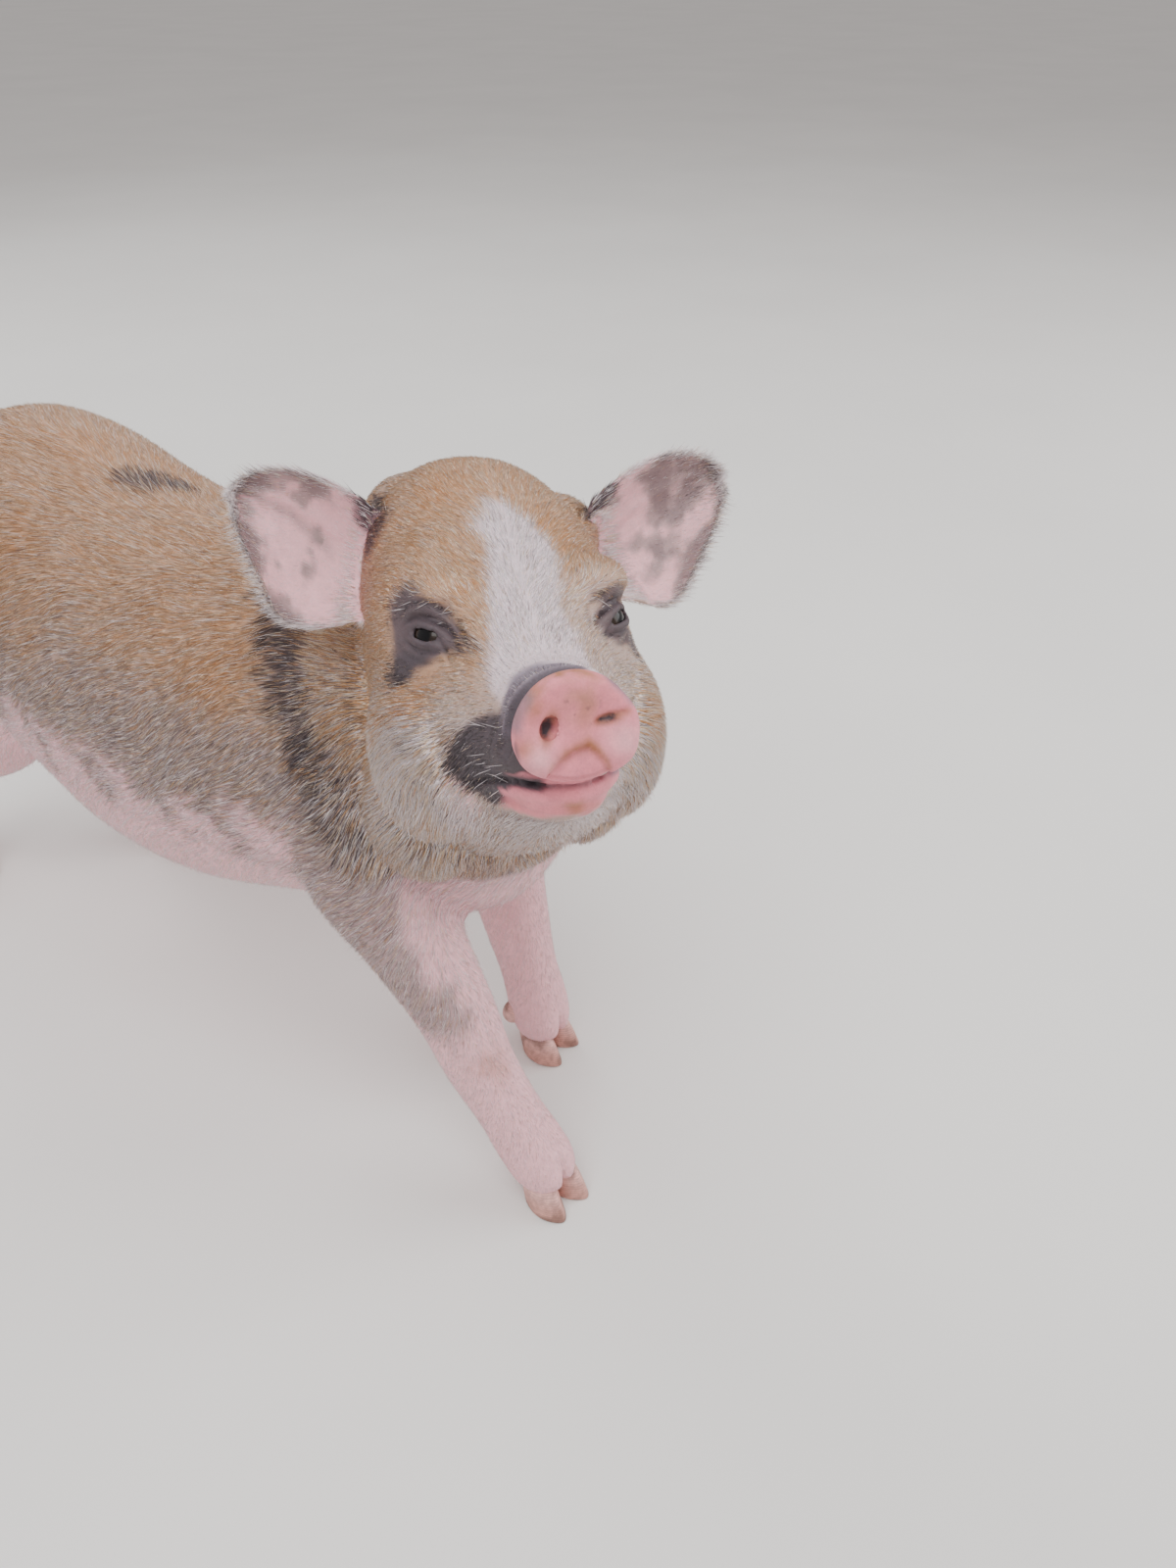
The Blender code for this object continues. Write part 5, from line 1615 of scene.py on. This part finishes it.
def hair_material():
    """Hair: the tint of each tuft, a little uneven, with a dull sheen."""
    material, tree, shader = material_of("pig_hair", 0.48, 0.30)
    tinted(tree, shader, (speckle(tree, 900.0), 0.90, 1.08))
    return material


def eye_material():
    """Eye: dark and wet, with a faint weave in the iris."""
    material, tree, shader = material_of("pig_eye", 0.18, 0.22, Coat_Weight=0.14, Coat_Roughness=0.10)
    tinted(tree, shader, (speckle(tree, 2200.0), 0.75, 1.2))
    return material


def horn_material():
    """Claw horn: growth rings, dull wear, and dried mud low down and between the toes."""
    material, tree, shader = material_of("pig_horn", 0.50, 0.40)
    place = tree.nodes.new("ShaderNodeTexCoord").outputs["Object"]
    rings = node(tree, "ShaderNodeTexWave", bands_direction="Z", Scale=300.0, Distortion=3.0, Detail=2.0)
    tree.links.new(place, rings.inputs["Vector"])
    tinted(tree, shader, (rings.outputs["Fac"], 0.90, 1.06), (speckle(tree, 420.0), 0.72, 1.15))
    bump(tree, shader, (rings.outputs["Fac"], 0.25, 0.0003), (speckle(tree, 900.0), 0.30, 0.0005))
    return material


def floor_material():
    """Plain pale floor, very slightly clouded."""
    material, tree, shader = material_of("floor", 0.85, 0.2)
    base = node(tree, "ShaderNodeRGB")
    base.outputs["Color"].default_value = FLOOR_TINT
    colour = varied(tree, base.outputs["Color"], speckle(tree, 3.0), 0.97, 1.02)
    tree.links.new(colour, shader.inputs["Base Color"])
    return material


def eyeball(sign, rings=40, sides=56):
    """An eye: a sphere whose front bulges by a cosine power, tinted from pupil through iris to white."""
    polar = np.linspace(0.02, math.pi - 0.02, rings)[:, None]
    angle = around(sides)
    radius = EYE_RADIUS * (1 + 0.035 * np.exp(-((polar / 0.62) ** 4)))
    points, faces = moved(loft(sphere(polar, angle) * radius[..., None]), EYES[sign])
    polar = np.concatenate([np.repeat(polar[:, 0], sides), (0, math.pi)])
    pupil, iris, rim, white = EYE_TINTS
    colours = mix(np.tile(pupil, (len(polar), 1)), iris, step(polar, 0.30, 0.36))
    colours = mix(colours, rim, step(polar, 0.60, 0.70))
    return (points, faces), mix(colours, white, step(polar, 0.92, 1.10))


def foot_axes(foot):
    """A foot's own axes, from its middle on the floor."""
    across, along, turn = FEET[foot]
    middle = Vector(SHIFT) + Vector((across, along, 0))
    return Matrix.Translation(middle) @ Matrix.Rotation(turn, 4, "Z")


def claw_form(foot, sign, rings=18, sides=36):
    """A claw: level ovals, longer than wide, that narrow toward the toe and lean back as they rise."""
    level, length, width, lean = spline(CLAW_LEVELS, rings).T[:, :, None]
    angle = around(sides)
    ahead = CLAW_LENGTH / 2 * length * np.cos(angle)
    toe = 1 - 0.30 * np.clip(np.cos(angle), 0, 1) ** 2
    aside = CLAW_WIDTH / 2 * width * np.sin(angle) * toe
    ridge = 1 - 0.012 * np.sin(level * 2600)
    shape = np.stack([aside * ridge, lean - ahead * ridge, np.maximum(level, 0) + 0 * angle], -1)
    splay = Matrix.Rotation(math.radians(5) * sign, 4, "Z")
    beside = Matrix.Translation((sign * (CLAW_WIDTH / 2 + 0.0006), 0, 0)) @ splay
    return moved(loft(shape), foot_axes(foot) @ beside)


def dewclaw_form(foot, sign, rings=14, sides=20):
    """A small claw behind the fetlock: rounded levels about a line that leans back."""
    height, radius = spline(DEWCLAW_LEVELS, rings).T[:, :, None]
    angle = around(sides)
    shape = np.stack([radius * np.cos(angle), radius * 1.2 * np.sin(angle), height + 0 * angle], -1)
    behind = 0.0150 if foot.startswith("front") else 0.0160
    place = foot_axes(foot) @ Matrix.Translation((sign * 0.0078, behind, 0.0215))
    return moved(loft(shape), place @ Matrix.Rotation(math.radians(24), 4, "X"))


def horn_tint(points, seed):
    """Pinkish horn, paler toward its top, with brown mud low down in patches."""
    height = points[:, 2]
    low, high, dirt = HORN_TINTS
    colours = mix(np.tile(low, (len(points), 1)), high, step(height, 0.004, 0.013))
    mud = step(ripple(points, 0.006, seed, 3) + 0.6 * step(height, 0.009, 0.0), 0.35, 0.85)
    return mix(colours, dirt, 0.65 * mud)


class PigSettings(bpy.types.PropertyGroup):
    """Sizes and colours that a user would change."""

    tufts_head: bpy.props.IntProperty(
        name="Head tufts", description="Tufts on head and ears", default=140000
    )
    tufts_body: bpy.props.IntProperty(
        name="Body tufts", description="Tufts on trunk, legs and tail", default=190000
    )
    tufts_long: bpy.props.IntProperty(
        name="Long hairs", description="Whiskers, brows and fringes", default=13000
    )
    coat_length: bpy.props.FloatProperty(
        name="Coat length", description="Length of the tufts against their usual length", default=1.0
    )
    floor_reach: bpy.props.FloatProperty(
        name="Floor reach", description="Half the side of the floor", default=14.0, unit="LENGTH"
    )
    light_strength: bpy.props.FloatProperty(
        name="Light strength", description="How bright the studio's lamps are", default=1.0
    )
    sky_tint: bpy.props.FloatVectorProperty(
        name="Studio tint",
        description="Colour of the light all round",
        subtype="COLOR",
        default=(1.0, 0.95, 0.94),
    )


class PIG_OT_skin(bpy.types.Operator):
    """Builds one skin over head, neck, trunk, legs, ears, snout and tail."""

    bl_idname = "pig.skin"
    bl_label = "Skin"

    def execute(self, context):
        points, faces = skin_surface()
        at = Places(points)
        share = zones_of(points, at)
        mesh = mesh_from("skin", points, faces)
        tint(mesh, share @ ZONE_SKIN)
        map_onto(mesh, "Lie", lie_map(at), faces)
        flesh = [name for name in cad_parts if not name.startswith(("eye", "claw", "dewclaw"))]
        skin = add_piece("skin", mesh, skin_material(), *flesh)
        return {"FINISHED"}


class PIG_OT_eyes(bpy.types.Operator):
    """Builds the two eyes."""

    bl_idname = "pig.eyes"
    bl_label = "Eyes"

    def execute(self, context):
        material = eye_material()
        for sign, side in ((-1, "right"), (1, "left")):
            surface, colours = eyeball(sign)
            mesh = mesh_from(f"eyeball_{side}", *surface)
            tint(mesh, colours)
            add_piece(f"eyeball_{side}", mesh, material, f"eye_{side}")
        return {"FINISHED"}


class PIG_OT_claws(bpy.types.Operator):
    """Builds the claws and dewclaws of each foot."""

    bl_idname = "pig.claws"
    bl_label = "Claws"

    def execute(self, context):
        material = horn_material()
        for index, foot in enumerate(FEET):
            for sign, side in ((-1, "right"), (1, "left")):
                for maker, kind in ((claw_form, "claw"), (dewclaw_form, "dewclaw")):
                    points, faces = maker(foot, sign)
                    mesh = mesh_from(f"horn_{kind}_{foot}_{side}", points, faces)
                    tint(mesh, horn_tint(points, 60 + index))
                    piece = add_piece(mesh.name, mesh, material, f"{kind}_{foot}_{side}")
        return {"FINISHED"}


class PIG_OT_coat(bpy.types.Operator):
    """Covers the skin with tufts, in pieces of under 200,000 triangles."""

    bl_idname = "pig.coat"
    bl_label = "Coat"

    def execute(self, context):
        settings = context.scene.pig
        points, faces = triangles_of(bpy.data.objects["skin"].data)
        normals = normals_of(points, faces)
        middles = points[faces].mean(1)
        at = Places(middles)
        share = zones_of(middles, at)
        weight = coat_weight(at, share)
        is_head = np.maximum(at.in_head > 0.5, at.ear != 0)
        material = hair_material()
        groups = (
            ("head", weight * is_head, settings.tufts_head, False),
            ("body", weight * ~is_head, settings.tufts_body, False),
            ("long", long_weight(at, share), settings.tufts_long, True),
        )
        for seed, (group, thick, count, bent) in enumerate(groups, 70):
            roots, ups, face = scattered(points, faces, normals, thick, count, seed)
            at = Places(roots)
            share = zones_of(roots, at)
            tones = hair_tones(share, seed + 10)
            lie = lie_of(roots, ups, at, seed + 20)
            sizes = Lengths(at)
            random = np.random.default_rng(seed + 30)
            length = long_length(at) if bent else sizes.length
            length = length * random.uniform(0.72, 1.18, count) * settings.coat_length
            lift = (LONG_LIFT if bent else sizes.lift) * random.uniform(0.5, 1.5, count)
            hollow = swell_along(points, faces, normals, face, lie) * length
            lift = lift - 0.55 * np.minimum(hollow, 0) - 0.20 * np.maximum(hollow, 0)
            lift = np.clip(lift, 0.08, 0.85)
            width = LONG_WIDTH if bent else sizes.width
            width = width * random.uniform(0.85, 1.15, count)
            tones = mix(tones, share @ ZONE_SKIN * 1.15, 0.12 if group == "head" else 0.36)
            tones = mix(tones, HAIR["white"], 0.40 * (at.ear != 0) * ear_rim(at) ** 10)
            if bent:
                tones = mix(tones, HAIR["white"], 0.70 * (at.tail < 0.5))
            flat = unwrap(at)
            order = np.argsort(roots[:, 1], kind="stable")
            pieces = int(np.ceil(count * (10 if bent else 4) / PIECE_TRIANGLES))
            for number, part in enumerate(np.array_split(order, pieces), 1):
                name = f"coat_{group}_{number}"
                rows = (roots, ups, lie, length, width, lift, tones, flat)
                mesh = tuft_mesh(name, *(row[part] for row in rows), bent)
                add_piece(name, mesh, material)
        return {"FINISHED"}


class PIG_OT_stage(bpy.types.Operator):
    """Sets the camera, a plain pale floor and soft studio light."""

    bl_idname = "pig.stage"
    bl_label = "Stage"

    def execute(self, context):
        settings = context.scene.pig
        scene = context.scene
        camera = placed("camera", bpy.data.cameras.new("camera"))
        camera.data.sensor_fit = "VERTICAL"
        camera.data.sensor_height = SENSOR_HEIGHT
        camera.data.lens = SENSOR_HEIGHT / 2 / math.tan(CAMERA_FIELD / 2)
        camera.data.clip_start = 0.01
        camera.location = CAMERA_PLACE
        level = math.cos(CAMERA_DIP)
        east, north = math.cos(CAMERA_HEADING) * level, math.sin(CAMERA_HEADING) * level
        look = (east, north, -math.sin(CAMERA_DIP))
        camera.rotation_euler = Vector(look).to_track_quat("-Z", "Y").to_euler()
        scene.camera = camera
        reach = settings.floor_reach
        corners = reach * np.array([(-1, -1, 0), (1, -1, 0), (1, 1, 0), (-1, 1, 0)])
        floor = placed("floor", mesh_from("floor", corners, np.array([[0, 1, 2, 3]])))
        floor.data.materials.append(floor_material())
        for name, place, size, power in LAMPS:
            lamp = placed(name, bpy.data.lights.new(name, "AREA"))
            lamp.data.energy = power * settings.light_strength
            lamp.data.size = size
            lamp.location = place
            aim = Vector(LAMP_AIM) - Vector(place)
            lamp.rotation_euler = aim.to_track_quat("-Z", "Y").to_euler()
        world = bpy.data.worlds.new("studio")
        world.use_nodes = True
        inputs = world.node_tree.nodes["Background"].inputs
        inputs["Color"].default_value = (*settings.sky_tint, 1)
        inputs["Strength"].default_value = STUDIO_GLOW
        scene.world = world
        return {"FINISHED"}


class PIG_PT_panel(bpy.types.Panel):
    """Lists the pieces of the pig in the sidebar."""

    bl_label = "Spotted miniature pig"
    bl_space_type = "VIEW_3D"
    bl_region_type = "UI"
    bl_category = "Pig"

    def draw(self, context):
        for name in PigSettings.__annotations__:
            self.layout.prop(context.scene.pig, name)
        for operator in OPERATORS:
            self.layout.operator(operator.bl_idname)


OPERATORS = (PIG_OT_skin, PIG_OT_eyes, PIG_OT_claws, PIG_OT_coat, PIG_OT_stage)
CLASSES = (PigSettings, *OPERATORS, PIG_PT_panel)


def register():
    for made in CLASSES:
        bpy.utils.register_class(made)
    bpy.types.Scene.pig = bpy.props.PointerProperty(type=PigSettings)


def unregister():
    del bpy.types.Scene.pig
    for made in reversed(CLASSES):
        bpy.utils.unregister_class(made)


def main():
    """Builds each piece in turn."""
    register()
    bpy.ops.pig.skin()
    bpy.ops.pig.eyes()
    bpy.ops.pig.claws()
    bpy.ops.pig.coat()
    bpy.ops.pig.stage()


if __name__ == "__main__":
    main()
